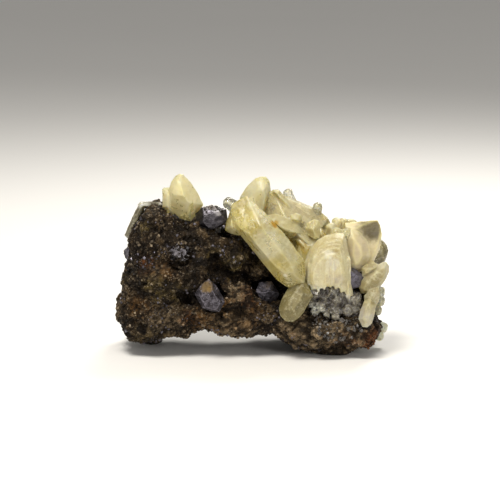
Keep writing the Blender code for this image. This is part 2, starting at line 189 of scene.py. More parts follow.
def blendColours(tree, factor, first, second):
    return addNode(tree, "ShaderNodeMix", {0: factor, 6: first, 7: second}, data_type="RGBA").outputs[2]


def noiseAt(tree, vector, size=1.0, detail=3.0, roughness=0.55, distortion=0.0, stretch=None):
    inputs = {"Vector": shrunk(tree, vector, size, stretch), "Scale": 1.0, "Detail": detail,
              "Roughness": roughness, "Distortion": distortion}
    return addNode(tree, "ShaderNodeTexNoise", inputs).outputs[0]


def cellsAt(tree, vector, size=1.0, feature="F1", metric="EUCLIDEAN", stretch=None):
    return addNode(tree, "ShaderNodeTexVoronoi", {"Vector": shrunk(tree, vector, size, stretch), "Scale": 1.0},
                   feature=feature, distance=metric)


# inputs hold a default value each, or the kind of socket where there is none
def startGroup(name, kind, inputs, outputs):
    tree = bpy.data.node_groups.new(name, kind)
    kinds = {float: "NodeSocketFloat", int: "NodeSocketInt", tuple: "NodeSocketVector"}
    for label, value in inputs.items():
        socket = tree.interface.new_socket(name=label, in_out="INPUT", socket_type=kinds.get(type(value), value))
        if type(value) in kinds:
            socket.default_value = value
    for label in outputs:
        socketKind = "NodeSocketGeometry" if label == "Geometry" else "NodeSocketFloat"
        tree.interface.new_socket(name=label, in_out="OUTPUT", socket_type=socketKind)
    return tree, tree.nodes.new("NodeGroupInput"), tree.nodes.new("NodeGroupOutput")


def sendOut(tree, end, values):
    for label, value in values.items():
        tree.links.new(value, end.inputs[label])
    return tree


def fieldOf(tree, name, kind="FLOAT"):
    return addNode(tree, "GeometryNodeInputNamedAttribute", {"Name": name}, data_type=kind).outputs[0]


def attributeOf(tree, name, output="Fac"):
    return addNode(tree, "ShaderNodeAttribute", attribute_name=name).outputs[output]


# moves the coordinates on by the crystal's tone, so that no two crystals share a pattern
def setApart(tree, place, tone, across, up):
    apart = addNode(tree, "ShaderNodeCombineXYZ", {0: times(tree, tone, across), 2: up}).outputs[0]
    return vectors(tree, "ADD", place, apart)


# last nodes of a relief: every point moves out along its normal
def pushOut(tree, end, geometry, height):
    normal = addNode(tree, "GeometryNodeInputNormal").outputs[0]
    moved = addNode(tree, "GeometryNodeSetPosition", {"Geometry": geometry, "Offset": scaled(tree, normal, height)})
    return sendOut(tree, end, {"Geometry": moved.outputs[0]})


# 1 on the surface of a leaning ellipsoid, less inside it
def reachIn(tree, place, middle, half, lean):
    moved = vectors(tree, "SUBTRACT", place, tuple(Vector(middle) + frameShift))
    turned = addNode(tree, "ShaderNodeVectorRotate", {"Vector": moved, "Angle": math.radians(-lean)},
                     rotation_type="Y_AXIS").outputs[0]
    return lengthOf(tree, vectors(tree, "DIVIDE", turned, half))


def startMaterial(name):
    material = bpy.data.materials.new(name)
    material.use_nodes = True
    return material, material.node_tree, material.node_tree.nodes["Principled BSDF"]


def placeInMm(tree):
    return scaled(tree, addNode(tree, "ShaderNodeTexCoord").outputs["Object"], 1 / toMetres)


def addBump(tree, shader, strength, distance, height):
    bump = addNode(tree, "ShaderNodeBump", {"Strength": strength, "Distance": distance, "Height": height})
    tree.links.new(bump.outputs[0], shader.inputs["Normal"])


# soft round patch on the object, ragged by noise, from 1 in the middle to 0
def spotMask(tree, place, centre, radius, ragged):
    distance = lengthOf(tree, vectors(tree, "SUBTRACT", place, tuple(Vector(centre))))
    noise = minus(tree, noiseAt(tree, place, 2.2, 4.0, 0.65), 0.5)
    distance = plus(tree, distance, times(tree, noise, radius * ragged * 4))
    return spread(tree, distance, radius * 0.4, radius, 1.0, 0.0)


# paints each spot, given as centre, radius, tint and amount, and hands back the masks too
def paintSpots(tree, paint, place, spots, ragged=0.35):
    masks = []
    for centre, radius, tint, amount in spots:
        masks.append(times(tree, spotMask(tree, place, centre, radius, ragged), amount))
        paint = blendColours(tree, masks[-1], paint, tint)
    return paint, masks


def colour(red, green, blue):
    return (red, green, blue, 1.0)


# camera, light and floor

cameraValues = dict(place=(-0.65, -1048.5, 235.3), tiltDown=10.404, lens=180.0, sensor=36.0, nearest=0.02)


def makeCamera(values):
    data = bpy.data.cameras.new("camera")
    data.lens = values["lens"]
    data.sensor_width = values["sensor"]
    data.clip_start = values["nearest"]
    camera = bpy.data.objects.new("camera", data)
    bpy.context.scene.collection.objects.link(camera)
    camera.location = Vector(values["place"]) * toMetres
    camera.rotation_euler = (math.radians(90 - values["tiltDown"]), 0, 0)
    bpy.context.scene.camera = camera


lightValues = dict(
    world=colour(1.0, 0.975, 0.93), worldStrength=0.30, aim=(0.0, 0.0, 0.035), lamps=dict(
        key=dict(place=(-0.16, -0.28, 0.66), size=0.24, power=5.0, tint=(1.0, 0.96, 0.89)),
        front=dict(place=(0.42, -0.62, 0.26), size=0.20, power=1.5, tint=(1.0, 0.97, 0.92)),
        back=dict(place=(0.16, 0.40, 0.50), size=0.26, power=2.6, tint=(1.0, 0.97, 0.91))),
)


def makeLights(values):
    world = bpy.data.worlds.new("studio")
    world.use_nodes = True
    background = world.node_tree.nodes["Background"]
    background.inputs["Color"].default_value = values["world"]
    background.inputs["Strength"].default_value = values["worldStrength"]
    bpy.context.scene.world = world
    for name, facts in values["lamps"].items():
        data = bpy.data.lights.new(name, "AREA")
        data.shape = "SQUARE"
        data.size = facts["size"]
        data.energy = facts["power"]
        data.color = facts["tint"]
        light = bpy.data.objects.new(name, data)
        bpy.context.scene.collection.objects.link(light)
        light.location = Vector(facts["place"])
        light.rotation_euler = (Vector(values["aim"]) - light.location).to_track_quat("-Z", "Y").to_euler()


floorValues = dict(size=14.0, tone=colour(0.90, 0.89, 0.87), shade=colour(0.86, 0.85, 0.83), cloudSize=0.4,
                   roughness=0.7)


def makeFloor(values):
    deselectAll()
    bpy.ops.mesh.primitive_plane_add(size=values["size"], location=(0, 0, 0))
    floor = bpy.context.object
    floor.name = "floor"
    material, tree, shader = startMaterial("paleFloor")
    place = addNode(tree, "ShaderNodeTexCoord").outputs["Object"]
    cloud = noiseAt(tree, place, values["cloudSize"], detail=2.0)
    tree.links.new(blendColours(tree, cloud, values["tone"], values["shade"]), shader.inputs["Base Color"])
    shader.inputs["Roughness"].default_value = values["roughness"]
    floor.data.materials.append(material)


makeCamera(cameraValues)
makeLights(lightValues)
makeFloor(floorValues)
bpy.context.scene.view_settings.view_transform = "Standard"
print("camera, lights and floor placed")


# calcite: shapes
# ends of crystals: height as a share of the width, and rings of faces as
# (lean from the axis, number of faces, first bearing)
endKinds = {
    "round": (0.62, [(68, 6, 0), (46, 6, 30), (22, 5, 10)]),
    "blunt": (0.95, [(72, 5, 12), (58, 5, 48), (38, 4, 0), (16, 3, 30)]),
    "nail": (0.42, [(58, 3, 30), (74, 3, 90), (24, 3, 0)]),
    "bud": (0.55, [(60, 5, 0), (26, 3, 20)]),
    "oval": (0.64, [(78, 12, 0), (66, 12, 15), (54, 10, 0), (42, 8, 10), (30, 7, 0), (17, 5, 10)]),
}
sideLean = 86.0
backLean = 32
toothValues = dict(bearings=(-20, 20, 100, 140, 220, 260), waist=0.35, turnBelow=60, point=1.04, taper=1.2,
                   shoulderWidth=1.04, bluntWidth=0.34, bluntHeight=0.12, shoulder=[(84, 6, 30), (73, 6, 0)],
                   blunt=[(40, 3, 60), (14, 4, 20)])


def tilted(lean, bearing):
    lean = math.radians(lean)
    bearing = math.radians(bearing)
    return Vector((math.sin(lean) * math.cos(bearing), math.sin(lean) * math.sin(bearing), math.cos(lean)))


def ringFaces(rings, radius, cap, length, spin):
    faces = []
    for lean, count, first in rings:
        for step in range(count):
            normal = tilted(lean, first + spin + 360 * step / count)
            reach = math.hypot(radius * math.hypot(normal.x, normal.y), cap * normal.z)
            faces.append((normal, reach + normal.z * (length - cap)))
    return faces


def toothFaces(radius, length, spin):
    values = toothValues
    faces = []
    waist = values["waist"]
    point = length * values["point"]
    above = point - waist * length
    below = waist * length * values["taper"]
    for bearing in values["bearings"]:
        up = Vector((*tilted(90, bearing + spin).xy * above, radius)).normalized()
        faces.append((up, up.z * point))
        down = Vector((*tilted(90, bearing + spin + values["turnBelow"]).xy * below, -radius)).normalized()
        faces.append((down, -down.z * (below - waist * length)))
    shoulder = ringFaces(values["shoulder"], radius * values["shoulderWidth"], length * (1 - waist), length, spin)
    blunt = ringFaces(values["blunt"], radius * values["bluntWidth"], length * values["bluntHeight"], length, spin)
    return faces + shoulder + blunt


# a crystal given by its outline from the front, clockwise, as (across, up, lean of the next face),
# lying in a plane at a depth that changes by its slant across and up
def outlineFaces(facts):
    slantAcross, slantUp = facts.get("slant", (0.0, 0.0))
    corners = [Vector((corner[0], facts["depth"] + slantAcross * corner[0] + slantUp * corner[1], corner[1]))
               + frameShift for corner in facts["outline"]]
    centre = sum(corners, Vector()) / len(corners)
    ahead = Vector((slantAcross, -1, slantUp)).normalized()
    place = Matrix.Translation(centre) @ Matrix.Rotation(math.radians(facts.get("turn", 0.0)), 4, "Y")
    planes = [(ahead, centre + ahead * facts["ahead"]), (-ahead, centre - ahead * facts["behind"])]
    behind = math.radians(facts.get("backLean", backLean))
    for index, corner in enumerate(corners):
        along = corners[(index + 1) % len(corners)] - corner
        outward = ahead.cross(along).normalized()
        given = facts["outline"][index]
        lean = math.radians(given[2] if len(given) > 2 else facts["lean"])
        planes.append((outward * math.cos(lean) + ahead * math.sin(lean), corner))
        planes.append((outward * math.cos(behind) - ahead * math.sin(behind), corner))
    planes += [(Vector(normal).normalized(), Vector(point) + frameShift) for normal, point in facts.get("cuts", ())]
    back = place.inverted()
    faces = []
    for normal, point in planes:
        turned = (back.to_3x3() @ normal).normalized()
        faces.append((turned, turned.dot(back @ point) + facts.get("grow", 0.0)))
    blockSize = 160.0
    return faces, place, blockSize


# flat faces of one crystal, the place it stands in, and the size of block it is cut from
def crystalFaces(facts):
    if "outline" in facts:
        return outlineFaces(facts)
    foot = Vector(facts["foot"]) + frameShift
    tip = Vector(facts["tip"]) + frameShift
    axis = (tip - foot).normalized()
    length = (tip - foot).length
    radius = facts["wide"] / 2
    spin = facts.get("spin", 0.0)
    if facts["end"] == "tooth":
        faces = toothFaces(radius, length, spin)
    else:
        height, rings = endKinds[facts["end"]]
        cap = min(length * 0.9, facts["wide"] * height)
        sides = facts.get("sides", 7 if radius > 3.0 else 6)
        faces = [(tilted(facts.get("lean", sideLean), spin + 360 * step / sides), radius) for step in range(sides)]
        faces += ringFaces(rings, radius, cap, length, spin)
    faces.append((Vector((0, 0, -1)), 0.0))
    faces = [(normal, distance + facts.get("grow", 0.0)) for normal, distance in faces]
    across = axis.cross(Vector((0, 1, 0)))
    across = across.normalized() if across.length > 0.1 else Vector((1, 0, 0))
    turn = Matrix((across, axis.cross(across), axis)).transposed().to_4x4()
    place = Matrix.Translation(foot) @ turn @ Matrix.Diagonal((1, facts["thick"] / facts["wide"], 1, 1))
    # faces given by where they lie on the specimen and which way they look
    back = place.inverted()
    for normal, point in facts.get("cuts", ()):
        turned = place.to_3x3().transposed() @ Vector(normal)
        where = back @ (Vector(point) + frameShift)
        faces.append((turned.normalized(), turned.normalized().dot(where)))
    return faces, place, 4 * max(length, facts["wide"])


def cutCrystal(name, faces, place, size):
    deselectAll()
    bpy.ops.mesh.primitive_cube_add(size=size, location=(0, 0, 0))
    crystal = bpy.context.object
    crystal.name = name
    bpy.ops.object.mode_set(mode="EDIT")
    for normal, distance in faces:
        bpy.ops.mesh.select_all(action="SELECT")
        bpy.ops.mesh.bisect(plane_co=normal * distance, plane_no=normal, use_fill=True,
                            clear_outer=True, threshold=0.001)
    bpy.ops.mesh.select_all(action="SELECT")
    bpy.ops.mesh.remove_doubles(threshold=0.02)
    bpy.ops.mesh.normals_make_consistent(inside=False)
    bpy.ops.object.mode_set(mode="OBJECT")
    crystal.data.transform(place)
    return crystal


def writeAttribute(mesh, name, kind, values):
    attribute = mesh.attributes.new(name, kind, "POINT")
    field = "vector" if kind == "FLOAT_VECTOR" else "value"
    attribute.data.foreach_set(field, np.ascontiguousarray(values, np.float32).ravel())


# faces that lean apart by more than this cosine meet in a sharp edge
sharpEdge = 0.86
# steps of this share give neighbours tones that differ well
goldenShare = 0.618034
firstTone = 0.13


# writes where each point lies in its own crystal, how near an edge it is, and the crystal's tone
def markGrowth(piece, crystals):
    mesh = piece.data
    points = np.empty(len(mesh.vertices) * 3, np.float32)
    mesh.vertices.foreach_get("co", points)
    points = points.reshape(-1, 3).astype(float)
    nearest = np.full(len(points), np.inf)
    local = np.zeros((len(points), 3))
    edge, tone, face = (np.zeros(len(points)) for field in range(3))
    for index, (faces, place, size) in enumerate(crystals):
        back = np.array(place.inverted())
        here = points @ back[:3, :3].T + back[:3, 3]
        normals = np.array([tuple(normal) for normal, distance in faces])
        beyond = here @ normals.T - np.array([distance for normal, distance in faces])
        outer = beyond.argmax(axis=1)
        farthest = beyond.max(axis=1)
        sharp = (normals @ normals.T)[outer] < sharpEdge
        second = np.where(sharp, beyond, -1e9).max(axis=1)
        mine = np.abs(farthest) < nearest
        nearest[mine] = np.abs(farthest)[mine]
        local[mine] = here[mine]
        edge[mine] = (farthest - second)[mine]
        tone[mine] = (index * goldenShare + firstTone) % 1.0
        face[mine] = ((outer + 3 * index) * goldenShare % 1.0)[mine]
    writeAttribute(mesh, "growPlace", "FLOAT_VECTOR", local)
    for name, values in (("growEdge", edge), ("growTone", tone), ("growFace", face)):
        writeAttribute(mesh, name, "FLOAT", values)


# geometry nodes: growth lines across a crystal, low swells, small cleavage steps and etch pits
def makeGrowthRelief():
    inputs = {"Geometry": "NodeSocketGeometry", "Line Scale": (0.15, 0.15, 1.6), "Line Height": 0.03,
              "Swell Size": 4.5, "Swell Height": 0.32, "Pit Size": 1.3, "Pit Depth": 0.06, "Step Size": 3.6,
              "Step Height": 0.10}
    tree, start, end = startGroup("growthRelief", "GeometryNodeTree", inputs, ["Geometry"])
    asked = start.outputs
    tone = fieldOf(tree, "growTone")
    place = setApart(tree, fieldOf(tree, "growPlace", "FLOAT_VECTOR"), tone, 90.0, tone)
    lines = noiseAt(tree, vectors(tree, "MULTIPLY", place, asked["Line Scale"]), 1.0, 2.0, 0.6)
    lines = times(tree, minus(tree, lines, 0.5), asked["Line Height"])
    swell = noiseAt(tree, place, asked["Swell Size"], 3.0, 0.5)
    swell = times(tree, minus(tree, swell, 0.5), asked["Swell Height"])
    pits = cellsAt(tree, place, asked["Pit Size"]).outputs["Distance"]
    pits = times(tree, spread(tree, pits, 0.1, 0.5, 1.0, 0.0), asked["Pit Depth"])
    steps = cellsAt(tree, place, asked["Step Size"], metric="CHEBYCHEV", stretch=(1.0, 1.0, 0.6)).outputs["Color"]
    steps = times(tree, addNode(tree, "FunctionNodeSeparateColor", {0: steps}).outputs[0], asked["Step Height"])
    height = plus(tree, times(tree, lines, 2.0), times(tree, swell, 2.0))
    height = minus(tree, minus(tree, height, pits), steps)
    return pushOut(tree, end, asked["Geometry"], height)


# adds a geometry nodes modifier with the named values and applies it
def useNodes(piece, group, values):
    modifier = piece.modifiers.new(group.name, "NODES")
    modifier.node_group = group
    for item in group.interface.items_tree:
        if item.item_type == "SOCKET" and item.in_out == "INPUT" and item.name in values:
            modifier[item.identifier] = values[item.name]
    return applyModifiers(piece)


# calcite: finish
# shader group: the masks that every calcite finish uses, on the crystal's own coordinates
def makeGrowthZones():
    inputs = {"Cloud Size": 7.0, "Veil Size": 4.0, "Speck Size": 0.9, "Band Scale": (0.05, 0.05, 0.7),
              "Rim Width": 1.0}
    outputs = ["Cloud", "Veil", "Speck", "Dust", "Band", "Rim", "Crack", "Height", "Dim Face", "Bright Face"]
    tree, start, end = startGroup("growthZones", "ShaderNodeTree", inputs, outputs)
    asked = start.outputs
    tone = attributeOf(tree, "growTone")
    place = setApart(tree, attributeOf(tree, "growPlace", "Vector"), tone, 90.0, tone)

    def noiseBy(name, detail, roughness=0.55, distortion=0.0, stretch=None):
        return noiseAt(tree, place, asked[name], detail, roughness, distortion, stretch)

    cloud = spread(tree, noiseBy("Cloud Size", 5.0, 0.65, 0.4, (1.0, 1.0, 0.7)), 0.36, 0.64)
    sheet = noiseBy("Veil Size", 4.0, 0.6, 1.1, (1.0, 1.0, 0.6))
    veil = spread(tree, maths(tree, "ABSOLUTE", minus(tree, sheet, 0.5)), 0.0, 0.04, 1.0, 0.0)
    veil = times(tree, veil, spread(tree, noiseBy("Cloud Size", 2.0, stretch=(1.6, 1.6, 1.6)), 0.45, 0.6))
    cells = cellsAt(tree, place, asked["Speck Size"]).outputs["Color"]
    parts = addNode(tree, "ShaderNodeSeparateColor", {0: cells}).outputs
    speck = times(tree, spread(tree, parts[0], 0.55, 0.95), spread(tree, noiseBy("Veil Size", 3.0), 0.4, 0.6))
    dust = times(tree, spread(tree, parts[1], 0.5, 0.95),
                 spread(tree, noiseBy("Cloud Size", 4.0, stretch=(1.3, 1.3, 1.0)), 0.46, 0.62))
    band = noiseAt(tree, vectors(tree, "MULTIPLY", place, asked["Band Scale"]), 1.0, 3.0, 0.6)
    band = spread(tree, band, 0.38, 0.62)
    # Rim: paler paint near the crystal's edges, partly worn edges and partly a painted highlight where the edges
    # catch the light
    rim = maths(tree, "DIVIDE", attributeOf(tree, "growEdge"), asked["Rim Width"])
    broken = times(tree, noiseBy("Veil Size", 3.0, stretch=(1.5, 1.5, 1.5)), 0.9)
    rim = spread(tree, plus(tree, rim, broken), 0.2, 1.4, 1.0, 0.0)
    leaning = shrunk(tree, place, asked["Veil Size"], (0.9, 0.5, 1.6))
    leaning = vectors(tree, "ADD", leaning, scaled(tree, place, 0.06))
    sides = cellsAt(tree, leaning, feature="DISTANCE_TO_EDGE").outputs["Distance"]
    crack = times(tree, spread(tree, sides, 0.004, 0.03, 1.0, 0.0),
                  spread(tree, noiseBy("Cloud Size", 2.0, stretch=(2.2, 2.2, 2.2)), 0.5, 0.6))
    height = plus(tree, times(tree, band, 0.4), times(tree, noiseBy("Speck Size", 4.0, 0.65), 0.8))
    height = minus(tree, height, times(tree, crack, 0.8))
    # Dim Face and Bright Face: faces picked at random are painted darker and lighter, as painted facet shading
    face = attributeOf(tree, "growFace")
    return sendOut(tree, end, {
        "Cloud": cloud, "Veil": veil, "Speck": speck, "Dust": dust, "Band": band, "Rim": rim, "Crack": crack,
        "Height": height, "Dim Face": spread(tree, face, 0.05, 0.5, 1.0, 0.0),
        "Bright Face": spread(tree, face, 0.55, 1.0)})


calciteFinish = dict(
    honey=colour(0.52, 0.43, 0.12), cream=colour(0.66, 0.59, 0.29), deep=colour(0.38, 0.30, 0.09),
    veil=colour(0.80, 0.77, 0.56), rim=colour(0.82, 0.77, 0.48), speck=colour(0.80, 0.76, 0.54),
    dust=colour(0.26, 0.22, 0.08), crack=colour(0.88, 0.85, 0.68),
    deepAmount=0.25, veilAmount=0.4, rimAmount=0.6, speckAmount=0.3, dustAmount=0.25, crackAmount=0.55,
    # dimFace and brightFace set how strong the painted facet shading is
    dimFace=0.32, brightFace=0.22, ragged=0.3, stainRagged=0.12, spots=(), stains=(),
    cloudSize=6.0, veilSize=4.0, speckSize=0.9, bandScale=(0.05, 0.05, 0.7), rimWidth=0.9,
    transmission=0.42, subsurface=0.75, radius=(1.0, 0.88, 0.5), depth=0.0045, ior=1.56,
    roughness=0.26, roughSpread=0.22, bump=0.35, absorption=colour(0.90, 0.82, 0.50), absorptionDensity=50.0,
)
# mask, its colour and its amount, painted in this order; Rim paints the edges paler, partly worn edges and partly a
# painted highlight
calcitePaints = (("Dim Face", "deep", "dimFace"), ("Bright Face", "veil", "brightFace"),
                 ("Band", "deep", "deepAmount"), ("Veil", "veil", "veilAmount"), ("Crack", "crack", "crackAmount"),
                 ("Speck", "speck", "speckAmount"), ("Dust", "dust", "dustAmount"), ("Rim", "rim", "rimAmount"))


def calciteMaterial(name, **changes):
    values = {**calciteFinish, **changes}
    material, tree, shader = startMaterial(name)
    zones = addNode(tree, "ShaderNodeGroup", node_tree=growthZones)
    for label, key in (("Cloud Size", "cloudSize"), ("Veil Size", "veilSize"), ("Speck Size", "speckSize"),
                       ("Band Scale", "bandScale"), ("Rim Width", "rimWidth")):
        zones.inputs[label].default_value = values[key]
    masks = zones.outputs
    placeMm = placeInMm(tree)
    paint = blendColours(tree, masks["Cloud"], values["honey"], values["cream"])
    paint = paintSpots(tree, paint, placeMm, values["spots"], values["ragged"])[0]
    for label, key, amount in calcitePaints:
        paint = blendColours(tree, times(tree, masks[label], values[amount]), paint, values[key])
    paint = paintSpots(tree, paint, placeMm, values["stains"], values["stainRagged"])[0]
    tree.links.new(paint, shader.inputs["Base Color"])
    frost = plus(tree, times(tree, masks["Cloud"], 0.6), times(tree, masks["Speck"], 0.4))
    rough = spread(tree, frost, 0.0, 1.0, values["roughness"], values["roughness"] + values["roughSpread"])
    tree.links.new(rough, shader.inputs["Roughness"])
    addBump(tree, shader, values["bump"], 0.0002, masks["Height"])
    for label, key in (("IOR", "ior"), ("Transmission Weight", "transmission"), ("Subsurface Weight", "subsurface"),
                       ("Subsurface Radius", "radius"), ("Subsurface Scale", "depth")):
        shader.inputs[label].default_value = values[key]
    absorb = addNode(tree, "ShaderNodeVolumeAbsorption",
                     {"Color": values["absorption"], "Density": values["absorptionDensity"]})
    tree.links.new(absorb.outputs[0], tree.nodes["Material Output"].inputs["Volume"])
    return material


growthRelief = makeGrowthRelief()
growthZones = makeGrowthZones()


def growCalcite(name, crystals, nodes, material, voxel=0.4, softness=4, relief=None):
    cut = [crystalFaces(facts) for facts in crystals.values()]
    made = [cutCrystal(name + label, *facts) for facts, label in zip(cut, crystals)]
    piece = joinAll(made, name)
    remeshTo(piece, voxel, softness)
    markGrowth(piece, cut)
    useNodes(piece, growthRelief, relief or {})
    finishPiece(piece, material, nodes)
    print(name, "grown:", len(crystals), "crystals,", len(piece.data.polygons), "faces")
    return piece


# calcite: the crown, one solid in the frame, drawn here crystal by crystal
crown = ("calcite_cluster",)

prismCrystals = {
    "Long": dict(
        outline=[
            (-10.2, 64.6, 8), (-4.1, 68.3, 8), (4.5, 60.9, 30), (12.0, 52.8, 34), (20.2, 42.3, 30),
            (20.8, 37.3, 32), (20.1, 33.1, 38), (17.2, 31.3, 42), (13.4, 31.1, 34), (8.8, 34.0, 30),
            (4.4, 38.9, 24), (-8.3, 54.2, 20), (-10.8, 60.7, 15)],
        depth=-25.2, slant=(-0.1625, 0.194), ahead=7.2, behind=6.0, lean=34, turn=140, grow=0.2,
        cuts=[
            ((-0.351, -0.777, 0.523), (-10.2, -11.5, 64.7)),
            ((0.364, -0.571, 0.736), (-4.1, -11.8, 68.4)), ((0.45, -0.88, -0.15), (17.5, -28.2, 40)),
            ((-0.2, -0.90, -0.40), (12.5, -29.4, 37))]),
    "Corner": dict(
        outline=[
            (-10.1, 63.9), (-7.8, 60.2), (-5.0, 52.3), (-7.3, 51.5), (-10.9, 52.5), (-13.0, 53.6),
            (-12.6, 56.5)],
        depth=-23.0, slant=(-0.1625, 0.194), ahead=5.0, behind=6.0, lean=30, grow=0.3),
}
prismMaterial = calciteMaterial(
    "prismCalcite",
    stains=[
        ((9.3, -18.2, 57.3), 2.1, colour(0.56, 0.33, 0.006), 0.95),
        ((9.8, -18.7, 56.4), 1.7, colour(0.50, 0.27, 0.006), 0.9)],
    dustAmount=0.25, speckSize=0.8, rimAmount=0.25, dimFace=0.12, brightFace=0.2,
    spots=[
        ((-3.5, -19, 60.0), 8.5, colour(0.79, 0.69, 0.25), 0.8),
        ((6.8, -25.7, 49.6), 9, colour(0.76, 0.73, 0.50), 0.85),
        ((15.5, -27, 40), 10, colour(0.52, 0.46, 0.19), 0.6),
        ((9.5, -25.0, 38.5), 7, colour(0.74, 0.62, 0.18), 0.75),
        # painted highlight: three pale spots down the ridge face, which faces up towards the light
        ((1.2, -17.0, 65.0), 3.4, colour(0.88, 0.84, 0.56), 0.85),
        ((3.4, -18.0, 62.4), 3.4, colour(0.88, 0.84, 0.56), 0.85),
        ((5.7, -19.1, 59.5), 3.4, colour(0.86, 0.82, 0.56), 0.8),
        ((-11, -19, 53.5), 5.5, colour(0.80, 0.76, 0.56), 0.7),
        ((14.0, -23.0, 49.4), 4.0, colour(0.58, 0.56, 0.36), 0.7),
        ((16.2, -25.5, 45.0), 4.5, colour(0.50, 0.47, 0.28), 0.65),
        ((13.9, -27.8, 37.3), 1.3, colour(0.95, 0.93, 0.80), 0.8)])
growCalcite("calcitePrism", prismCrystals, crown, prismMaterial, voxel=0.36, softness=12)

tipCrystals = {
    "Tip": dict(
        outline=[
            (-0.2, 73.7, 35), (1.7, 74.3, 40), (4.0, 74.2, 36), (5.6, 72.4, 28), (6.2, 69.2, 22),
            (5.9, 63.5, 24), (4.6, 57.0, 30), (-3.9, 58.0, 30), (-6.9, 65.1, 30), (-5.9, 66.9, 36),
            (-3.7, 70.1, 36)],
        depth=3.0, ahead=5.6, behind=6.0, lean=34, grow=0.2,
        cuts=[((-0.34, -0.90, 0.28), (-1.4, -2.0, 66)), ((0.12, -0.74, 0.66), (2.4, -0.9, 71.6))]),
}
tipMaterial = calciteMaterial(
    "tipCalcite", honey=colour(0.74, 0.67, 0.34), cream=colour(0.84, 0.80, 0.56), rimAmount=0.7,
    deepAmount=0.1, dimFace=0.15, dustAmount=0.1,
    spots=[
        # painted highlight near the top right of the tip
        ((3.2, -1.8, 72.0), 1.6, colour(0.95, 0.94, 0.84), 0.7),
        ((6.4, -2.5, 63), 4.5, colour(0.72, 0.62, 0.22), 0.6)])
growCalcite("calciteTip", tipCrystals, crown, tipMaterial, voxel=0.36, softness=5)

roofCrystals = {
    "Roof": dict(foot=(1, 7, 61.2), tip=(27, 4, 54.2), wide=14, thick=13, end="nail", spin=20),
    "Top": dict(foot=(3.5, 7, 59.4), tip=(19.5, 6, 60.6), wide=8, thick=9, end="blunt"),
    "Shield": dict(
        foot=(24, 2.0, 49.4), tip=(5.2, 1.4, 67.4), wide=18, thick=26, end="blunt",
        cuts=[
            ((0.344, -0.682, 0.644), (13, -4.2, 61)), ((0.40, 0.05, 0.91), (13, 2, 65.6)),
            ((-0.60, -0.75, 0.20), (9.4, -3.6, 62.4)), ((0.0, 0.98, 0.2), (12, 9.5, 61))]),
    "Crest": dict(
        outline=[(6.6, 69.4), (9.6, 69.6), (13.8, 65.2), (16.6, 61.2), (15.0, 60.2), (9.0, 65.0)],
        depth=-1.6, ahead=2.0, behind=5.0, lean=34, backLean=8),
    "Step": dict(
        outline=[
            (15.0, 64.2), (19.0, 63.2), (24.0, 59.6), (27.6, 56.4), (25.0, 55.6), (19.0, 58.4),
            (15.4, 61.6)],
        depth=-2.4, slant=(0.0, 0.05), ahead=2.6, behind=5.0, lean=36, backLean=8),
}
roofMaterial = calciteMaterial(
    "roofCalcite", honey=colour(0.68, 0.60, 0.30), cream=colour(0.81, 0.74, 0.46),
    deep=colour(0.42, 0.35, 0.19), deepAmount=0.35, bandScale=(0.9, 0.9, 0.05), rimAmount=0.7,
    spots=[
        ((8.0, -5.0, 61.6), 3.4, colour(0.34, 0.28, 0.18), 0.8),
        ((19.5, -4.4, 60.6), 4.0, colour(0.42, 0.34, 0.21), 0.5),
        ((15.3, -13.4, 55.5), 6, colour(0.74, 0.65, 0.30), 0.7),
        ((9.9, -13.9, 56.4), 2.2, colour(0.58, 0.27, 0.04), 0.95)])
growCalcite("calciteRoof", roofCrystals, crown, roofMaterial, softness=5)

coreCrystals = {
    "Core": dict(foot=(6, 3, 46), tip=(45, 3, 38), wide=21, thick=20, end="nail"),
    "Front": dict(foot=(22, 2, 44), tip=(27, -13, 40), wide=22, thick=19, end="round"),
    "Amber": dict(
        outline=[
            (16.0, 49.7), (18.4, 50.9), (22.7, 49.7), (25.2, 46.7), (22.8, 40.3), (20.3, 39.8),
            (17.9, 43.2)],
        depth=-8.5, ahead=4.4, behind=8.0, lean=44, grow=0.2,
        cuts=[((-0.5, -0.8, 0.3), (18.4, -12.0, 47))]),
}
coreMaterial = calciteMaterial(
    "amberCalcite", honey=colour(0.60, 0.47, 0.12), cream=colour(0.70, 0.60, 0.25),
    deep=colour(0.38, 0.27, 0.05),
    spots=[
        ((20.3, -16, 48.7), 6, colour(0.60, 0.42, 0.09), 0.85),
        ((18.2, -15.5, 47.3), 1.1, colour(0.02, 0.015, 0.01), 0.95)])
growCalcite("calciteCore", coreCrystals, crown, coreMaterial, voxel=0.45, softness=8)

stumpCrystals = {
    "LeftBulge": dict(
        outline=[
            (20.1, 40.7), (21.7, 43.1), (24.5, 43.4), (26.9, 40.9), (27.5, 36.0), (26.1, 31.6),
            (23.1, 29.5), (20.8, 31.6), (19.9, 36.0)],
        depth=-16.0, ahead=3.8, behind=6.0, lean=48, grow=0.1),
    "FarLeft": dict(foot=(21.2, -11, 38), tip=(20.4, -17.6, 29.0), wide=6.4, thick=7, end="round"),
    "Right": dict(
        outline=[
            (37.0, 34.5), (39.5, 34.1), (40.6, 30.1), (41.1, 27.2), (39.9, 24.0), (38.9, 22.7),
            (37.9, 25.2), (36.9, 29.2)],
        depth=-18.6, ahead=2.6, behind=7.0, lean=36),
    "Curtain": dict(
        outline=[
            (36.4, 52.4), (37.2, 52.4), (38.4, 48.3), (39.5, 42.9), (40.2, 36.5), (39.0, 35.0),
            (37.4, 44.5)],
        depth=-15.6, slant=(0.0, 0.05), ahead=2.2, behind=6.0, lean=16),
}
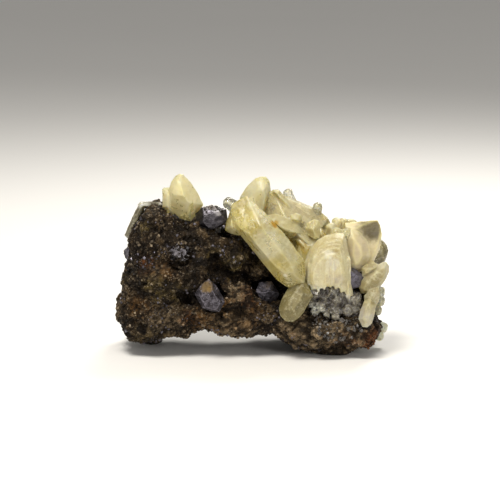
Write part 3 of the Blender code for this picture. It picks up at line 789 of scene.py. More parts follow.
# arched layers of the stump, each smaller and further forward: share of the outline, depth
stumpOutline = [
    (20.3, 41.0), (22.7, 46.6), (25.5, 49.5), (29.3, 51.9), (33.2, 52.7), (36.9, 52.6), (38.1, 48.3),
    (39.1, 42.9), (39.9, 36.5), (39.5, 34.1), (35.3, 32.2), (25.6, 31.4), (22.9, 31.6), (20.8, 33.0),
    (20.0, 36.0)]
stumpLayers = [
    (1.0, -13.4), (0.985, -14.9), (0.955, -16.4), (0.915, -17.7), (0.86, -18.9), (0.79, -19.9),
    (0.69, -20.7)]
stumpMiddle = (30, 31)
for layer, (share, depth) in enumerate(stumpLayers):
    stumpCrystals["Layer" + chr(ord("A") + layer)] = dict(
        outline=[tuple(middle + (place - middle) * share for place, middle in zip(corner, stumpMiddle))
                 for corner in stumpOutline],
        depth=depth - 3.8, slant=(0.0, 0.09), ahead=1.0, behind=4.0, lean=30, backLean=4)
# ribs down the front: place across, lower end, how far forward, width
stumpRibs = [
    (20.9, 32.8, 0.1, 1.5), (22.1, 31.4, 0.5, 1.7), (23.4, 29.4, 0.0, 1.3), (24.4, 29.9, 0.7, 1.9),
    (26.0, 28.6, 0.3, 1.2), (27.1, 30.6, 0.9, 1.7), (28.5, 30.0, 0.1, 1.4), (29.6, 31.6, 0.5, 1.9),
    (31.1, 31.0, 0.0, 1.2), (32.0, 31.9, 0.8, 1.5), (33.4, 30.2, 0.4, 1.8), (34.7, 30.9, 1.0, 1.3),
    (35.8, 28.6, 0.2, 1.7), (37.0, 28.9, 0.6, 1.3), (37.9, 26.2, 0.0, 1.6), (39.1, 25.2, 0.4, 1.4)]
ribValues = dict(reach=10.8, top=39.6, arch=3.4, uneven=1.5, depth=-13.6, swell=8.2, step=0.45, sunk=3.0)
for rib, (across, lower, forward, wide) in enumerate(stumpRibs):
    bulge = math.sqrt(1 - ((across - stumpMiddle[0]) / ribValues["reach"]) ** 2)
    upper = ribValues["top"] + ribValues["arch"] * bulge + ribValues["uneven"] * ((rib * 5) % 4 - 1.5)
    front = ribValues["depth"] - ribValues["swell"] * bulge - forward * ribValues["step"] - ribValues["sunk"]
    half = wide / 2
    stumpCrystals["Rib" + chr(ord("A") + rib)] = dict(
        outline=[(across - half * 0.6, upper), (across + half * 0.6, upper - 0.3), (across + half, upper - 1.5),
                 (across + half * 1.2, lower + 1.4), (across + half * 0.4, lower),
                 (across - half * 0.6, lower + 0.2), (across - half * 1.1, lower + 1.8),
                 (across - half, upper - 1.2)],
        depth=front, slant=(0.0, 0.09), ahead=0.8, behind=6.0, lean=22, backLean=3)
stumpMaterial = calciteMaterial(
    "stumpCalcite", honey=colour(0.60, 0.52, 0.28), cream=colour(0.72, 0.66, 0.43),
    deep=colour(0.45, 0.35, 0.15), transmission=0.25, roughness=0.34, rimAmount=0.3, veilAmount=0.5,
    bandScale=(0.3, 0.3, 0.75), deepAmount=0.25, dimFace=0.12, brightFace=0.1, speckAmount=0.5,
    speckSize=0.7, depth=0.004, bump=0.4,
    spots=[
        ((32.8, -20.6, 50.0), 9, colour(0.42, 0.33, 0.11), 0.85),
        ((26.5, -18.9, 48.5), 6, colour(0.52, 0.42, 0.15), 0.8),
        # painted highlight: the near-white spot in the middle of the stump's front
        ((32.2, -22.6, 45.0), 3.0, colour(0.90, 0.87, 0.70), 0.9),
        ((22.5, -21, 44), 5, colour(0.66, 0.57, 0.27), 0.6),
        ((41.2, -23.5, 24.5), 5, colour(0.80, 0.77, 0.70), 0.8),
        ((27, -25, 29.5), 5.0, colour(0.84, 0.81, 0.70), 0.65),
        ((36.9, -23.2, 34), 3.5, colour(0.46, 0.40, 0.32), 0.7),
        ((33.4, -25, 35.0), 3.0, colour(0.52, 0.46, 0.36), 0.6),
        ((28.0, -25, 38.0), 2.6, colour(0.58, 0.50, 0.36), 0.5),
        ((34, -24, 41), 4.0, colour(0.84, 0.81, 0.68), 0.6)])
growCalcite(
    "calciteStump", stumpCrystals, crown, stumpMaterial, voxel=0.3, softness=9,
    relief={
        "Line Scale": (1.1, 1.1, 0.09), "Line Height": 0.12, "Swell Height": 0.4, "Step Height": 0.12,
    })

knobCrystals = {
    "Bridge": dict(
        outline=[
            (4.3, 59.4), (8.2, 60.2), (13.3, 58.3), (18.1, 55.5), (20.8, 51.5), (17.9, 50.1),
            (13.3, 49.6), (9.7, 51.5), (5.5, 55.5)],
        depth=-8.0, ahead=4.2, behind=6.0, lean=38, grow=0.2,
        cuts=[((0.15, -0.80, 0.58), (8.6, -10.8, 57.4))]),
    "Blob": dict(
        outline=[
            (13.7, 58.1), (14.6, 59.7), (16.9, 60.3), (18.8, 59.7), (19.5, 57.8), (18.6, 56.0),
            (16.0, 55.9), (14.3, 56.8)],
        depth=-7.5, ahead=3.0, behind=5.0, lean=40, grow=0.2),
    "Front": dict(
        outline=[
            (20.2, 54.8), (21.4, 57.0), (24.3, 58.3), (26.3, 57.7), (27.1, 55.5), (26.6, 50.1),
            (24.4, 49.9), (21.7, 52.0)],
        depth=-11.0, ahead=4.6, behind=6.0, lean=42, grow=0.2,
        cuts=[((0.72, -0.60, 0.35), (25.6, -14.4, 55.0))]),
    "Brown": dict(foot=(28.6, 4, 49), tip=(29.6, 5, 56.4), wide=5.6, thick=4.8, end="oval"),
    "CombOne": dict(foot=(31.6, -3, 47), tip=(31.9, -4, 55.6), wide=5.6, thick=5.6, end="round", sides=6),
    "CombTwo": dict(foot=(34.2, 0, 47), tip=(34.4, 0, 57.2), wide=5.6, thick=5.6, end="round", sides=6),
    "CombThree": dict(
        foot=(37.0, -1, 46), tip=(37.0, -1, 57.2), wide=5.2, thick=5.6, end="round", sides=6),
    "CombFour": dict(foot=(39.8, 1, 46), tip=(40.4, 2, 56.4), wide=7.6, thick=7, end="round", sides=6),
    "CombFive": dict(foot=(33, -6, 46), tip=(34.5, -9.0, 54.2), wide=6, thick=5.6, end="round", sides=6),
    "CombSix": dict(foot=(37, -6, 46), tip=(38.6, -9.0, 53.8), wide=6, thick=5.6, end="round", sides=6),
}
knobMaterial = calciteMaterial(
    "knobCalcite", honey=colour(0.58, 0.50, 0.21), cream=colour(0.70, 0.64, 0.36), rimAmount=0.75,
    spots=[
        ((24.9, -17.1, 55.7), 4.5, colour(0.66, 0.58, 0.24), 0.6),
        ((36, -4, 54), 7, colour(0.62, 0.53, 0.35), 0.5)],
    stains=[((10.3, -13.8, 57.0), 1.7, colour(0.56, 0.33, 0.006), 0.9)])
growCalcite("calciteKnobs", knobCrystals, crown, knobMaterial, voxel=0.3, softness=6)

clearCrystals = {
    "Right": dict(
        foot=(16.2, 9, 59), tip=(13.2, 11, 67.6), wide=4.7, thick=4.4, end="round", sides=6, grow=0.2),
    "Left": dict(
        foot=(-6, 0, 60), tip=(-13.6, 1.5, 64.2), wide=5.6, thick=5, end="round", sides=6, grow=0.2),
    "Finger": dict(
        foot=(24.8, 2, 53.0), tip=(26.4, 2, 63.2), wide=4.4, thick=4.2, end="round", sides=6, grow=0.2,
        lean=88),
}
clearMaterial = calciteMaterial(
    "clearCalcite", honey=colour(0.70, 0.70, 0.64), cream=colour(0.84, 0.84, 0.80), transmission=0.8,
    subsurface=0.3, roughness=0.07, roughSpread=0.12, absorption=colour(0.72, 0.74, 0.68),
    absorptionDensity=90.0, dustAmount=0.1, deepAmount=0.1)
growCalcite("calciteClearKnobs", clearCrystals, crown, clearMaterial, voxel=0.25, softness=6)

oliveCrystals = {
    "Olive": dict(
        outline=[
            (37.6, 55.9, 40), (51.6, 57.2, 34), (52.5, 55.1, 30), (53.2, 51.2, 30), (52.9, 46.7, 30),
            (51.5, 42.5, 30), (49.6, 38.8, 34), (47.2, 36.1, 35), (43.8, 34.6, 40), (39.4, 34.9, 30),
            (37.3, 46.3, 12)],
        depth=-6.0, ahead=2.6, behind=11.0, lean=30, grow=0.1, backLean=36,
        cuts=[((0.22, -0.93, 0.28), (49.5, -8.1, 50)), ((-0.22, -0.96, -0.12), (43.5, -8.2, 47))]),
    "Shoulder": dict(
        outline=[
            (37.4, 51.4), (40.1, 53.8), (43.7, 52.6), (47.1, 48.5), (48.3, 42.6), (46.3, 37.4),
            (42.6, 35.7), (39.0, 36.4), (37.4, 42.1)],
        depth=-9.0, ahead=3.0, behind=8.0, lean=50, backLean=30),
    "Small": dict(foot=(42, -4, 37), tip=(51, -8.0, 37.6), wide=5, thick=5, end="oval"),
}
oliveMaterial = calciteMaterial(
    "oliveCalcite", honey=colour(0.56, 0.48, 0.26), cream=colour(0.70, 0.62, 0.42),
    deep=colour(0.40, 0.33, 0.17), deepAmount=0.15, transmission=0.07, roughness=0.34, rimAmount=0.55,
    rim=colour(0.70, 0.64, 0.34), ragged=0.16, dimFace=0.08, brightFace=0.0, crackAmount=0.05,
    speckAmount=0.05, ior=1.49, absorption=colour(0.78, 0.66, 0.28), absorptionDensity=150.0,
    veilAmount=0.0, dustAmount=0.1,
    spots=[
        # the darkest olive patch is partly the crystal's own olive colour and partly painted darkness, standing in
        # for a dark backdrop seen through the crystal
        ((50.9, -9.0, 54.2), 8.5, colour(0.098, 0.072, 0.009), 0.98),
        ((51.6, -9.2, 52.2), 4.0, colour(0.07, 0.05, 0.006), 0.7),
        ((55.6, -8.6, 50.0), 2.6, colour(0.66, 0.60, 0.28), 0.8),
        ((44.8, -13, 46.3), 6.5, colour(0.54, 0.46, 0.31), 0.75)])
growCalcite("calciteOlive", oliveCrystals, crown, oliveMaterial, voxel=0.36, softness=5)

brownCrystals = {
    "Brown": dict(foot=(42, 6, 29), tip=(54.6, 9, 45.6), wide=14, thick=10, end="blunt", spin=15),
}
brownMaterial = calciteMaterial(
    "brownCalcite", honey=colour(0.18, 0.15, 0.06), cream=colour(0.30, 0.25, 0.11),
    deep=colour(0.10, 0.08, 0.03), transmission=0.5, subsurface=0.5, roughness=0.14, rimAmount=0.3,
    absorption=colour(0.55, 0.48, 0.28), absorptionDensity=110.0)
growCalcite("calciteBrown", brownCrystals, crown, brownMaterial, softness=8)

fingerCrystals = {
    "Finger": dict(
        outline=[
            (13.2, 30.7), (15.8, 33.6), (20.6, 34.1), (23.9, 27.8), (20.1, 21.9), (17.7, 19.1),
            (15.2, 17.7), (12.4, 17.8), (10.1, 19.9), (9.5, 22.8), (10.9, 26.9)],
        depth=-34.9, slant=(0.0, 0.45), ahead=4.0, behind=4.0, lean=44, turn=-140, grow=0.2),
}
fingerMaterial = calciteMaterial(
    "fingerCalcite", honey=colour(0.17, 0.14, 0.043), cream=colour(0.30, 0.25, 0.095),
    deep=colour(0.12, 0.095, 0.03), brightFace=0.0, dimFace=0.1, speckAmount=0.55, speckSize=1.1,
    speck=colour(0.58, 0.53, 0.34), veil=colour(0.58, 0.53, 0.34), dustAmount=0.5, cloudSize=3.0,
    transmission=0.25, rimAmount=0.12, absorption=colour(0.62, 0.56, 0.32), absorptionDensity=160.0,
    roughness=0.42, bump=0.6)
growCalcite("calciteLowFinger", fingerCrystals, crown, fingerMaterial, voxel=0.3, softness=22)

backCrystals = {
    "Left": dict(foot=(8, 6, 54), tip=(2, 19, 66), wide=10, thick=9, end="tooth"),
    "Middle": dict(foot=(22, 6, 46), tip=(25, 23, 58), wide=11, thick=10, end="tooth", spin=20),
    "Right": dict(foot=(38, 6, 40), tip=(44, 21, 50), wide=10, thick=9, end="blunt"),
}
backMaterial = calciteMaterial("backCalcite", transmission=0.3)
growCalcite("calciteBack", backCrystals, crown, backMaterial, softness=6)


# calcite: the other groups
pairCrystals = {
    "Large": dict(
        outline=[
            (-34.4, 75.3, 30), (-32.5, 76.6, 25), (-30.6, 76.2, 35), (-27.7, 73.0, 38), (-24.7, 68.5, 40),
            (-22.1, 63.0, 48), (-27.4, 55.9, 54), (-32.6, 57.2, 54), (-36.3, 61.4, 20), (-36.8, 69.8, 25),
            (-35.9, 73.0, 30)],
        depth=-3.0, ahead=6.6, behind=5.5, lean=36, turn=10, grow=0.1,
        cuts=[
            ((0.10, -0.66, 0.74), (-31.2, -5.6, 74.4)), ((-0.42, -0.88, 0.22), (-33.8, -8.0, 67)),
            ((0.25, -0.86, -0.44), (-28.4, -9.2, 62.5))]),
    "Small": dict(
        outline=[
            (-39.0, 70.3), (-36.5, 70.3), (-34.6, 68.2), (-34.6, 58.4), (-37.5, 59.3), (-39.7, 61.8),
            (-39.8, 69.5)],
        depth=-1.5, ahead=3.0, behind=3.0, lean=34, grow=0.1),
}
pairMaterial = calciteMaterial(
    "pairCalcite", honey=colour(0.80, 0.71, 0.32), cream=colour(0.88, 0.82, 0.53), dimFace=0.0,
    deepAmount=0.12, dustAmount=0.15,
    spots=[
        ((-29.5, -10, 74), 2.2, colour(0.85, 0.82, 0.62), 0.7),
        ((-24.5, -12, 62), 2.2, colour(0.82, 0.79, 0.58), 0.6),
        ((-30, -13, 61), 5, colour(0.60, 0.50, 0.18), 0.5)])
growCalcite(
    "calcitePair", pairCrystals, ("calcite_left_pair",), pairMaterial, voxel=0.32, softness=5,
    relief={"Step Height": 0.12, "Step Size": 5.0, "Swell Height": 0.3})

plateCrystals = {
    "Long": dict(
        outline=[
            (-49.3, 63.3), (-47.5, 62.3), (-47.5, 59.3), (-51.8, 50.4), (-54.0, 46.3), (-56.2, 48.8),
            (-52.4, 57.4)],
        depth=4.0, ahead=2.6, behind=6.0, lean=26, turn=-25, grow=0.1,
        cuts=[((-0.5, -0.85, 0.15), (-53.2, 1.9, 54))]),
    "Top": dict(
        outline=[
            (-49.4, 63.3), (-40.7, 63.1), (-39.2, 61.9), (-40.7, 60.7), (-48.0, 60.2), (-50.5, 61.7)],
        depth=5.0, ahead=4.0, behind=6.0, lean=30, grow=0.1),
}
plateMaterial = calciteMaterial(
    "plateCalcite", honey=colour(0.07, 0.06, 0.032), cream=colour(0.15, 0.128, 0.075),
    deep=colour(0.04, 0.033, 0.018), transmission=0.1, subsurface=0.4, rimAmount=0.3,
    rim=colour(0.40, 0.38, 0.30), brightFace=0.05, absorption=colour(0.50, 0.48, 0.36),
    absorptionDensity=220.0, veil=colour(0.34, 0.30, 0.21),
    spots=[((-46.5, 1.5, 63.5), 4, colour(0.66, 0.65, 0.58), 0.85)])
growCalcite(
    "calcitePlate", plateCrystals, ("calcite_left_plate",), plateMaterial, voxel=0.3,
    softness=6)

bladeCrystals = {
    "Upper": dict(
        outline=[
            (53.2, 40.4), (54.8, 40.5), (55.9, 38.7), (55.9, 36.2), (54.4, 32.7), (51.8, 28.9),
            (47.6, 27.1), (44.3, 26.9), (43.3, 29.9), (44.7, 32.8), (47.1, 35.8), (50.7, 38.9)],
        depth=-15.5, slant=(0.05, 0.0), ahead=3.0, behind=3.6, lean=30, turn=38, grow=0.15,
        cuts=[((0.28, -0.93, -0.22), (52.6, -15.9, 34.0))]),
    "Block": dict(
        outline=[(44.2, 37.9), (46.5, 39.5), (51.0, 39.7), (51.9, 38.1), (47.4, 34.7), (44.7, 34.2)],
        depth=-12.5, ahead=2.6, behind=5.0, lean=30, grow=0.15),
    "Middle": dict(
        outline=[
            (45.2, 26.7), (47.8, 29.5), (51.8, 30.7), (52.2, 28.2), (51.6, 24.5), (50.1, 21.5),
            (46.8, 22.5), (45.4, 24.7)],
        depth=-17.0, ahead=3.2, behind=4.0, lean=34, turn=20, grow=0.15,
        cuts=[((0.30, -0.93, 0.2), (50.2, -19.6, 27))]),
    "Lower": dict(
        outline=[
            (45.3, 25.7), (48.0, 26.6), (50.3, 24.1), (49.8, 20.6), (48.3, 16.3), (46.5, 14.6),
            (44.4, 14.9), (42.9, 18.0), (43.6, 22.2)],
        depth=-27.5, slant=(0.0, 0.22), ahead=3.0, behind=4.0, lean=34, turn=-15, grow=0.15,
        cuts=[((-0.40, -0.91, 0.1), (45.2, -25.9, 20))]),
}
bladeMaterial = calciteMaterial(
    "bladeCalcite", honey=colour(0.42, 0.36, 0.18), cream=colour(0.54, 0.48, 0.28), transmission=0.45,
    rimAmount=0.3, veilAmount=0.6, speckAmount=0.6, roughness=0.38, bump=0.5,
    absorption=colour(0.80, 0.74, 0.50), absorptionDensity=90.0,
    spots=[
        ((56.5, -15, 38), 4.5, colour(0.74, 0.71, 0.58), 0.8),
        ((46.5, -25.5, 19), 6.5, colour(0.74, 0.71, 0.66), 0.8),
        ((46, -19, 28), 5, colour(0.40, 0.33, 0.14), 0.5)])
growCalcite(
    "calciteBlades", bladeCrystals, ("calcite_right_blades",), bladeMaterial, voxel=0.3,
    softness=5)

upperKnobCrystals = {
    "Top": dict(foot=(48, 0, 25), tip=(54.6, -3.5, 25.4), wide=5.4, thick=6, end="bud"),
    "Middle": dict(foot=(47.6, 0, 22), tip=(54.6, -3.5, 21.4), wide=5, thick=6, end="bud"),
    "Bottom": dict(foot=(47, -1, 18.5), tip=(53.4, -4, 17.0), wide=4.6, thick=5, end="bud"),
}
greyMaterial = calciteMaterial(
    "greyCalcite", honey=colour(0.36, 0.36, 0.28), cream=colour(0.54, 0.54, 0.47),
    deep=colour(0.24, 0.23, 0.17), transmission=0.5, subsurface=0.5, roughness=0.14)
growCalcite(
    "calciteUpperKnobs", upperKnobCrystals, ("calcite_upper_knobs",), greyMaterial,
    voxel=0.25, softness=10)

lowerKnobCrystals = {
    "Top": dict(foot=(48.6, 3, 10.6), tip=(56.2, 1, 8.6), wide=5.2, thick=6, end="bud"),
    "Bottom": dict(foot=(47, 4, 7), tip=(54.8, 3, 4.4), wide=4.8, thick=6, end="bud"),
}
bluishMaterial = calciteMaterial(
    "bluishCalcite", honey=colour(0.50, 0.54, 0.47), cream=colour(0.68, 0.72, 0.66),
    deep=colour(0.34, 0.36, 0.30), transmission=0.4, subsurface=0.6)
growCalcite(
    "calciteLowerKnobs", lowerKnobCrystals, ("calcite_lower_knobs",), bluishMaterial,
    voxel=0.25, softness=10)

druseCrystals = {
    "Crust": dict(foot=(23, -12, 23), tip=(45, -13, 24), wide=10, thick=14, end="round"),
    "Dome": dict(
        outline=[
            (29.4, 26.6), (31.2, 29.3), (34.4, 29.8), (37.3, 27.6), (38.3, 24.1), (35.6, 20.9),
            (31.8, 20.5), (29.6, 23.2)],
        depth=-18.6, ahead=4.4, behind=5.0, lean=46, cuts=[((0.3, -0.9, 0.3), (35.4, -22.2, 26.4))]),
    "Left": dict(
        outline=[(27.2, 27.4), (30.2, 28.2), (31.4, 25.0), (29.6, 22.4), (27.0, 23.4)], depth=-19.2,
        ahead=3.4, behind=4.0, lean=40),
    "Low": dict(
        outline=[(31.2, 22.6), (35.0, 22.8), (36.2, 20.4), (33.6, 18.4), (30.8, 19.8)], depth=-20.0,
        ahead=2.8, behind=4.0, lean=40),
    "UpperLeft": dict(
        outline=[(22.6, 30.6), (26.2, 31.6), (28.8, 30.4), (28.0, 26.0), (23.8, 25.4), (21.6, 28.0)],
        depth=-19.4, ahead=3.0, behind=4.0, lean=40),
    "UpperMiddle": dict(
        outline=[(28.4, 31.4), (31.6, 32.8), (34.8, 31.6), (34.2, 27.0), (29.0, 26.4)], depth=-19.8,
        ahead=3.0, behind=4.0, lean=42),
    "UpperRight": dict(
        outline=[(34.4, 31.0), (37.2, 30.4), (38.8, 27.6), (36.4, 25.0), (33.6, 26.8)], depth=-19.6,
        ahead=3.0, behind=4.0, lean=40),
    "Side": dict(foot=(38, -13, 23), tip=(38.6, -22.6, 20.8), wide=5.6, thick=5.6, end="nail"),
    "One": dict(foot=(25, -14, 24.5), tip=(22.4, -22.4, 24.2), wide=4.2, thick=4.2, end="bud"),
    "Two": dict(foot=(26, -14, 22.5), tip=(24.4, -23.6, 20.8), wide=4.6, thick=4.4, end="bud"),
    "Three": dict(foot=(27, -14, 24), tip=(27.4, -23.8, 22.6), wide=4.8, thick=4.8, end="bud"),
    "Four": dict(foot=(29, -14, 22), tip=(29.6, -23.2, 19.8), wide=4.0, thick=4.0, end="nail"),
    "Five": dict(foot=(40, -13, 25), tip=(41.8, -21.6, 25.6), wide=5.0, thick=5.0, end="nail"),
    "Six": dict(foot=(41, -13, 23), tip=(42.2, -20.8, 21.2), wide=4.6, thick=4.6, end="bud"),
    "Seven": dict(foot=(33, -14, 21), tip=(33.4, -22.6, 18.4), wide=4.4, thick=4.4, end="bud"),
}
druseMaterial = calciteMaterial(
    "druseCalcite", honey=colour(0.105, 0.088, 0.072), cream=colour(0.265, 0.235, 0.20),
    deep=colour(0.045, 0.036, 0.030), transmission=0.4, subsurface=0.4, roughness=0.14, speckAmount=0.45,
    speck=colour(0.60, 0.59, 0.56), veil=colour(0.66, 0.66, 0.64), rimAmount=0.15, cloudSize=2.6,
    dustAmount=0.7, dust=colour(0.04, 0.035, 0.035),
    spots=[
        ((27.0, -25.0, 21.5), 4.2, colour(0.52, 0.54, 0.47), 0.75),
        ((36.9, -27, 26.5), 4.2, colour(0.22, 0.21, 0.19), 0.6)])
druse = growCalcite(
    "calciteDruse", druseCrystals, ("calcite_grey_druse",), druseMaterial, voxel=0.28,
    softness=5, relief={"Swell Size": 2.0, "Swell Height": 0.5, "Step Size": 1.6, "Step Height": 0.3})


# galena

galenaCrystals = {
    "galena_top": dict(
        middle=(-19.0, -6.6, 58.3), half=4.45, corner=1.16, turn=(20, 12, 8), stretch=(1.32, 1.0, 0.92),
        worn=16, relief={"Step Height": 0.10, "Pit Depth": 0.12}),
    "galena_front": dict(
        outline=[
            (-19.8, 35.3, 34), (-16.7, 32.6, 34), (-12.8, 25.3, 30), (-15.3, 20.6, 24), (-18.9, 21.1, 24),
            (-22.7, 22.3, 30), (-25.8, 28.5, 34), (-23.1, 32.6, 34)],
        depth=-22.0, ahead=3.2, behind=7.0, backLean=20, half=5.2, worn=4,
        cuts=[((-0.30, -0.82, 0.50), (-20.9, -25.1, 29.6)), ((0.52, -0.76, 0.38), (-15.9, -25.0, 28.0))],
        relief={"Pit Depth": 0.5, "Pit Size": 1.3, "Step Height": 0.15}),
    "galena_hollow": dict(
        middle=(4.5, -9.6, 25.9), half=4.2, corner=1.22, turn=(28, -18, 30), worn=7,
        relief={"Step Height": 0.12}),
    "galena_right": dict(
        middle=(40.2, -12.0, 33.1), half=3.5, corner=1.3, turn=(14, 35, 12), worn=5,
        relief={"Step Height": 0.08, "Pit Depth": 0.1}),
    "galena_left_edge": dict(
        middle=(-53.2, -4.0, 42.4), half=2.4, corner=1.30, turn=(30, 10, 20), worn=5),
    "galena_flush": dict(
        middle=(-33.0, -17.2, 46.0), half=2.0, corner=1.4, turn=(10, 40, 12), stretch=(1.7, 1.1, 1.1),
        worn=7),
    "galena_back": dict(middle=(-34.0, 27.0, 46.0), half=5.0, corner=1.25, turn=(12, 28, 15), worn=4),
}


def galenaFaces(facts):
    if "outline" in facts:
        return outlineFaces(facts)
    half = facts["half"]
    faces = []
    for axis in range(3):
        for side in (-1, 1):
            normal = Vector((0, 0, 0))
            normal[axis] = side
            faces.append((normal, half * (1 + 0.05 * side)))
    for index in range(8):
        signs = [1 if index & (1 << bit) else -1 for bit in range(3)]
        faces.append((Vector(signs).normalized(), half * facts["corner"] * (1 + 0.04 * signs[0] * signs[1])))
    place = Matrix.Translation(Vector(facts["middle"]) + frameShift)
    place = place @ Matrix.Diagonal((*facts.get("stretch", (1, 1, 1)), 1))
    for axis, angle in zip("XYZ", reversed(facts["turn"])):
        place = place @ Matrix.Rotation(math.radians(angle), 4, axis)
    return faces, place, 6 * half


# geometry nodes: square etch pits, stepped faces and a slightly worn surface
def makeLeadRelief():
    inputs = {"Geometry": "NodeSocketGeometry", "Pit Size": 1.1, "Pit Depth": 0.36, "Step Size": 3.4,
              "Step Height": 0.30, "Inset": 0.05}
    tree, start, end = startGroup("leadRelief", "GeometryNodeTree", inputs, ["Geometry"])
    asked = start.outputs
    place = setApart(tree, fieldOf(tree, "growPlace", "FLOAT_VECTOR"), fieldOf(tree, "growTone"), 70.0, 0.0)
    pits = cellsAt(tree, place, asked["Pit Size"], metric="CHEBYCHEV").outputs["Distance"]
    field = spread(tree, noiseAt(tree, place, 2.6, 3.0), 0.36, 0.5)
    pits = times(tree, spread(tree, pits, 0.18, 0.3, 1.0, 0.0), field)
    steps = cellsAt(tree, place, asked["Step Size"], metric="CHEBYCHEV").outputs["Color"]
    steps = addNode(tree, "FunctionNodeSeparateColor", {0: steps}).outputs[0]
    height = times(tree, pits, times(tree, asked["Pit Depth"], -1.0))
    height = minus(tree, height, times(tree, steps, asked["Step Height"]))
    return pushOut(tree, end, asked["Geometry"], minus(tree, height, asked["Inset"]))


galenaFinish = dict(
    grey=colour(0.125, 0.115, 0.138), dark=colour(0.030, 0.026, 0.032), pale=colour(0.26, 0.245, 0.29),
    metallic=0.8, roughness=0.42, bump=0.5, stains=(),
)


def galenaMaterial(name, **changes):
    values = {**galenaFinish, **changes}
    material, tree, shader = startMaterial(name)
    place = attributeOf(tree, "growPlace", "Vector")
    cloud = spread(tree, noiseAt(tree, place, 2.4, 4.0, 0.65), 0.35, 0.65)
    mottle = noiseAt(tree, place, 0.5, 4.0, 0.7)
    pits = cellsAt(tree, place, 0.7, metric="CHEBYCHEV").outputs["Distance"]
    pits = spread(tree, pits, 0.12, 0.34, 1.0, 0.0)
    rim = plus(tree, attributeOf(tree, "growEdge"), times(tree, mottle, 1.2))
    speck = cellsAt(tree, place, 0.55).outputs["Color"]
    dots = spread(tree, addNode(tree, "ShaderNodeSeparateColor", {0: speck}).outputs[0], 0.72, 0.8)
    dots = times(tree, dots, spread(tree, noiseAt(tree, place, 2.2, 3.0), 0.4, 0.6))
    paint = blendColours(tree, cloud, values["grey"], values["dark"])
    for mask, amount, tint in ((spread(tree, mottle, 0.5, 0.7), 0.6, "pale"), (pits, 0.6, "dark"),
                               (spread(tree, rim, 0.55, 1.1, 1.0, 0.0), 0.35, "pale"), (dots, 0.85, "dark")):
        paint = blendColours(tree, times(tree, mask, amount), paint, values[tint])
    paint, masks = paintSpots(tree, paint, placeInMm(tree), values["stains"])
    # stained patches, and the painted glint patch, are dull
    stainAndLightPatches = 0.0
    for mask in masks:
        stainAndLightPatches = maths(tree, "MAXIMUM", stainAndLightPatches, mask)
    tree.links.new(paint, shader.inputs["Base Color"])
    tree.links.new(times(tree, minus(tree, 1.0, stainAndLightPatches), values["metallic"]), shader.inputs["Metallic"])
    rough = plus(tree, times(tree, mottle, 0.35), values["roughness"] - 0.15)
    tree.links.new(plus(tree, rough, times(tree, stainAndLightPatches, 0.3)), shader.inputs["Roughness"])
    addBump(tree, shader, values["bump"], 0.0002, minus(tree, mottle, times(tree, pits, 0.6)))
    return material


leadRelief = makeLeadRelief()
galenaLooks = {
    "galena_top": dict(
        grey=colour(0.070, 0.065, 0.078), dark=colour(0.018, 0.016, 0.019), pale=colour(0.25, 0.235, 0.26),
        roughness=0.3, bump=0.3, stains=[((-17, -8, 65.2), 5.0, colour(0.13, 0.09, 0.06), 0.85),
                                         # painted glint: a pale dull patch on the right of the crystal, where the
                                         # highlight falls
                                         ((-14.2, -12.6, 61.4), 2.3, colour(0.46, 0.44, 0.46), 0.75)]),
    "galena_front": dict(
        grey=colour(0.108, 0.099, 0.116), pale=colour(0.31, 0.29, 0.345), dark=colour(0.024, 0.02, 0.023),
        stains=[((-18.9, -25.6, 32.0), 3.3, colour(0.125, 0.075, 0.018), 0.9),
                ((-17.4, -26, 31.0), 1.6, colour(0.17, 0.10, 0.022), 0.8)]),
    "galena_hollow": dict(grey=colour(0.17, 0.16, 0.19), pale=colour(0.30, 0.285, 0.34),
                          stains=[((7.5, -14, 33.0), 4.5, colour(0.16, 0.11, 0.06), 0.8)]),
    "galena_right": dict(grey=colour(0.26, 0.245, 0.32), pale=colour(0.38, 0.36, 0.45),
                         dark=colour(0.10, 0.095, 0.12), roughness=0.5, bump=0.3),
    "galena_flush": dict(grey=colour(0.24, 0.225, 0.25), pale=colour(0.50, 0.48, 0.52),
                         dark=colour(0.06, 0.055, 0.065)),
}
galenaVoxels = dict(large=0.22, small=0.16, largeFrom=3)


def growGalena(node, facts):
    faces, place, size = galenaFaces(facts)
    name = "galena" + node[7:].title().replace("_", "")
    piece = cutCrystal(name, faces, place, size)
    remeshTo(piece, galenaVoxels["large" if facts["half"] > galenaVoxels["largeFrom"] else "small"], facts["worn"])
    markGrowth(piece, [(faces, place, size)])
    useNodes(piece, leadRelief, facts.get("relief", {}))
    finishPiece(piece, galenaMaterial(name + "Lead", **galenaLooks.get(node, {})), (node,))
    return piece


galenas = {node: growGalena(node, facts) for node, facts in galenaCrystals.items()}
print("galena grown:", len(galenaCrystals), "crystals")


# the ore rock

rockValues = dict(voxel=0.63, smoothing=1, grainSize=0.55, bump=0.9, relief={
    "Warp": 2.8, "Clod Size": 6.4, "Clod Height": 3.0, "Lump Size": 2.4, "Lump Height": 1.2,
    "Fine Size": 1.2, "Fine Height": 0.55, "Inset": 0.55})
# deep clefts in the rock: middle, half sizes, lean, depth
rockClefts = [
    ((-28.5, -22, 25.3), (6.0, 9, 1.5), 25, 3.0), ((-11.2, -20, 35.8), (11, 10, 1.6), 17, 3.4),
    ((-17.7, -20, 42.0), (2.4, 8, 3.0), 10, 3.0), ((-14.8, -23, 19.0), (2.2, 7, 1.9), 20, 3.0),
    ((-55.0, -12, 36.4), (4.0, 12, 1.8), -20, 2.4), ((-46.7, -20, 32.3), (1.5, 6, 1.4), 0, 2.0),
    ((-27.5, -16, 51.4), (4.5, 6, 1.0), -6, 1.6), ((-34.6, -20, 39.6), (3.0, 7, 1.5), 30, 2.2),
    ((-3.5, -17, 47.6), (7, 9, 1.6), 48, 2.6), ((-8, 30, 34), (12, 9, 2.0), -24, 3.0),
    ((30, 28, 22), (9, 9, 1.8), 30, 2.6), ((-40, 26, 28), (8, 9, 1.6), 12, 2.4)]


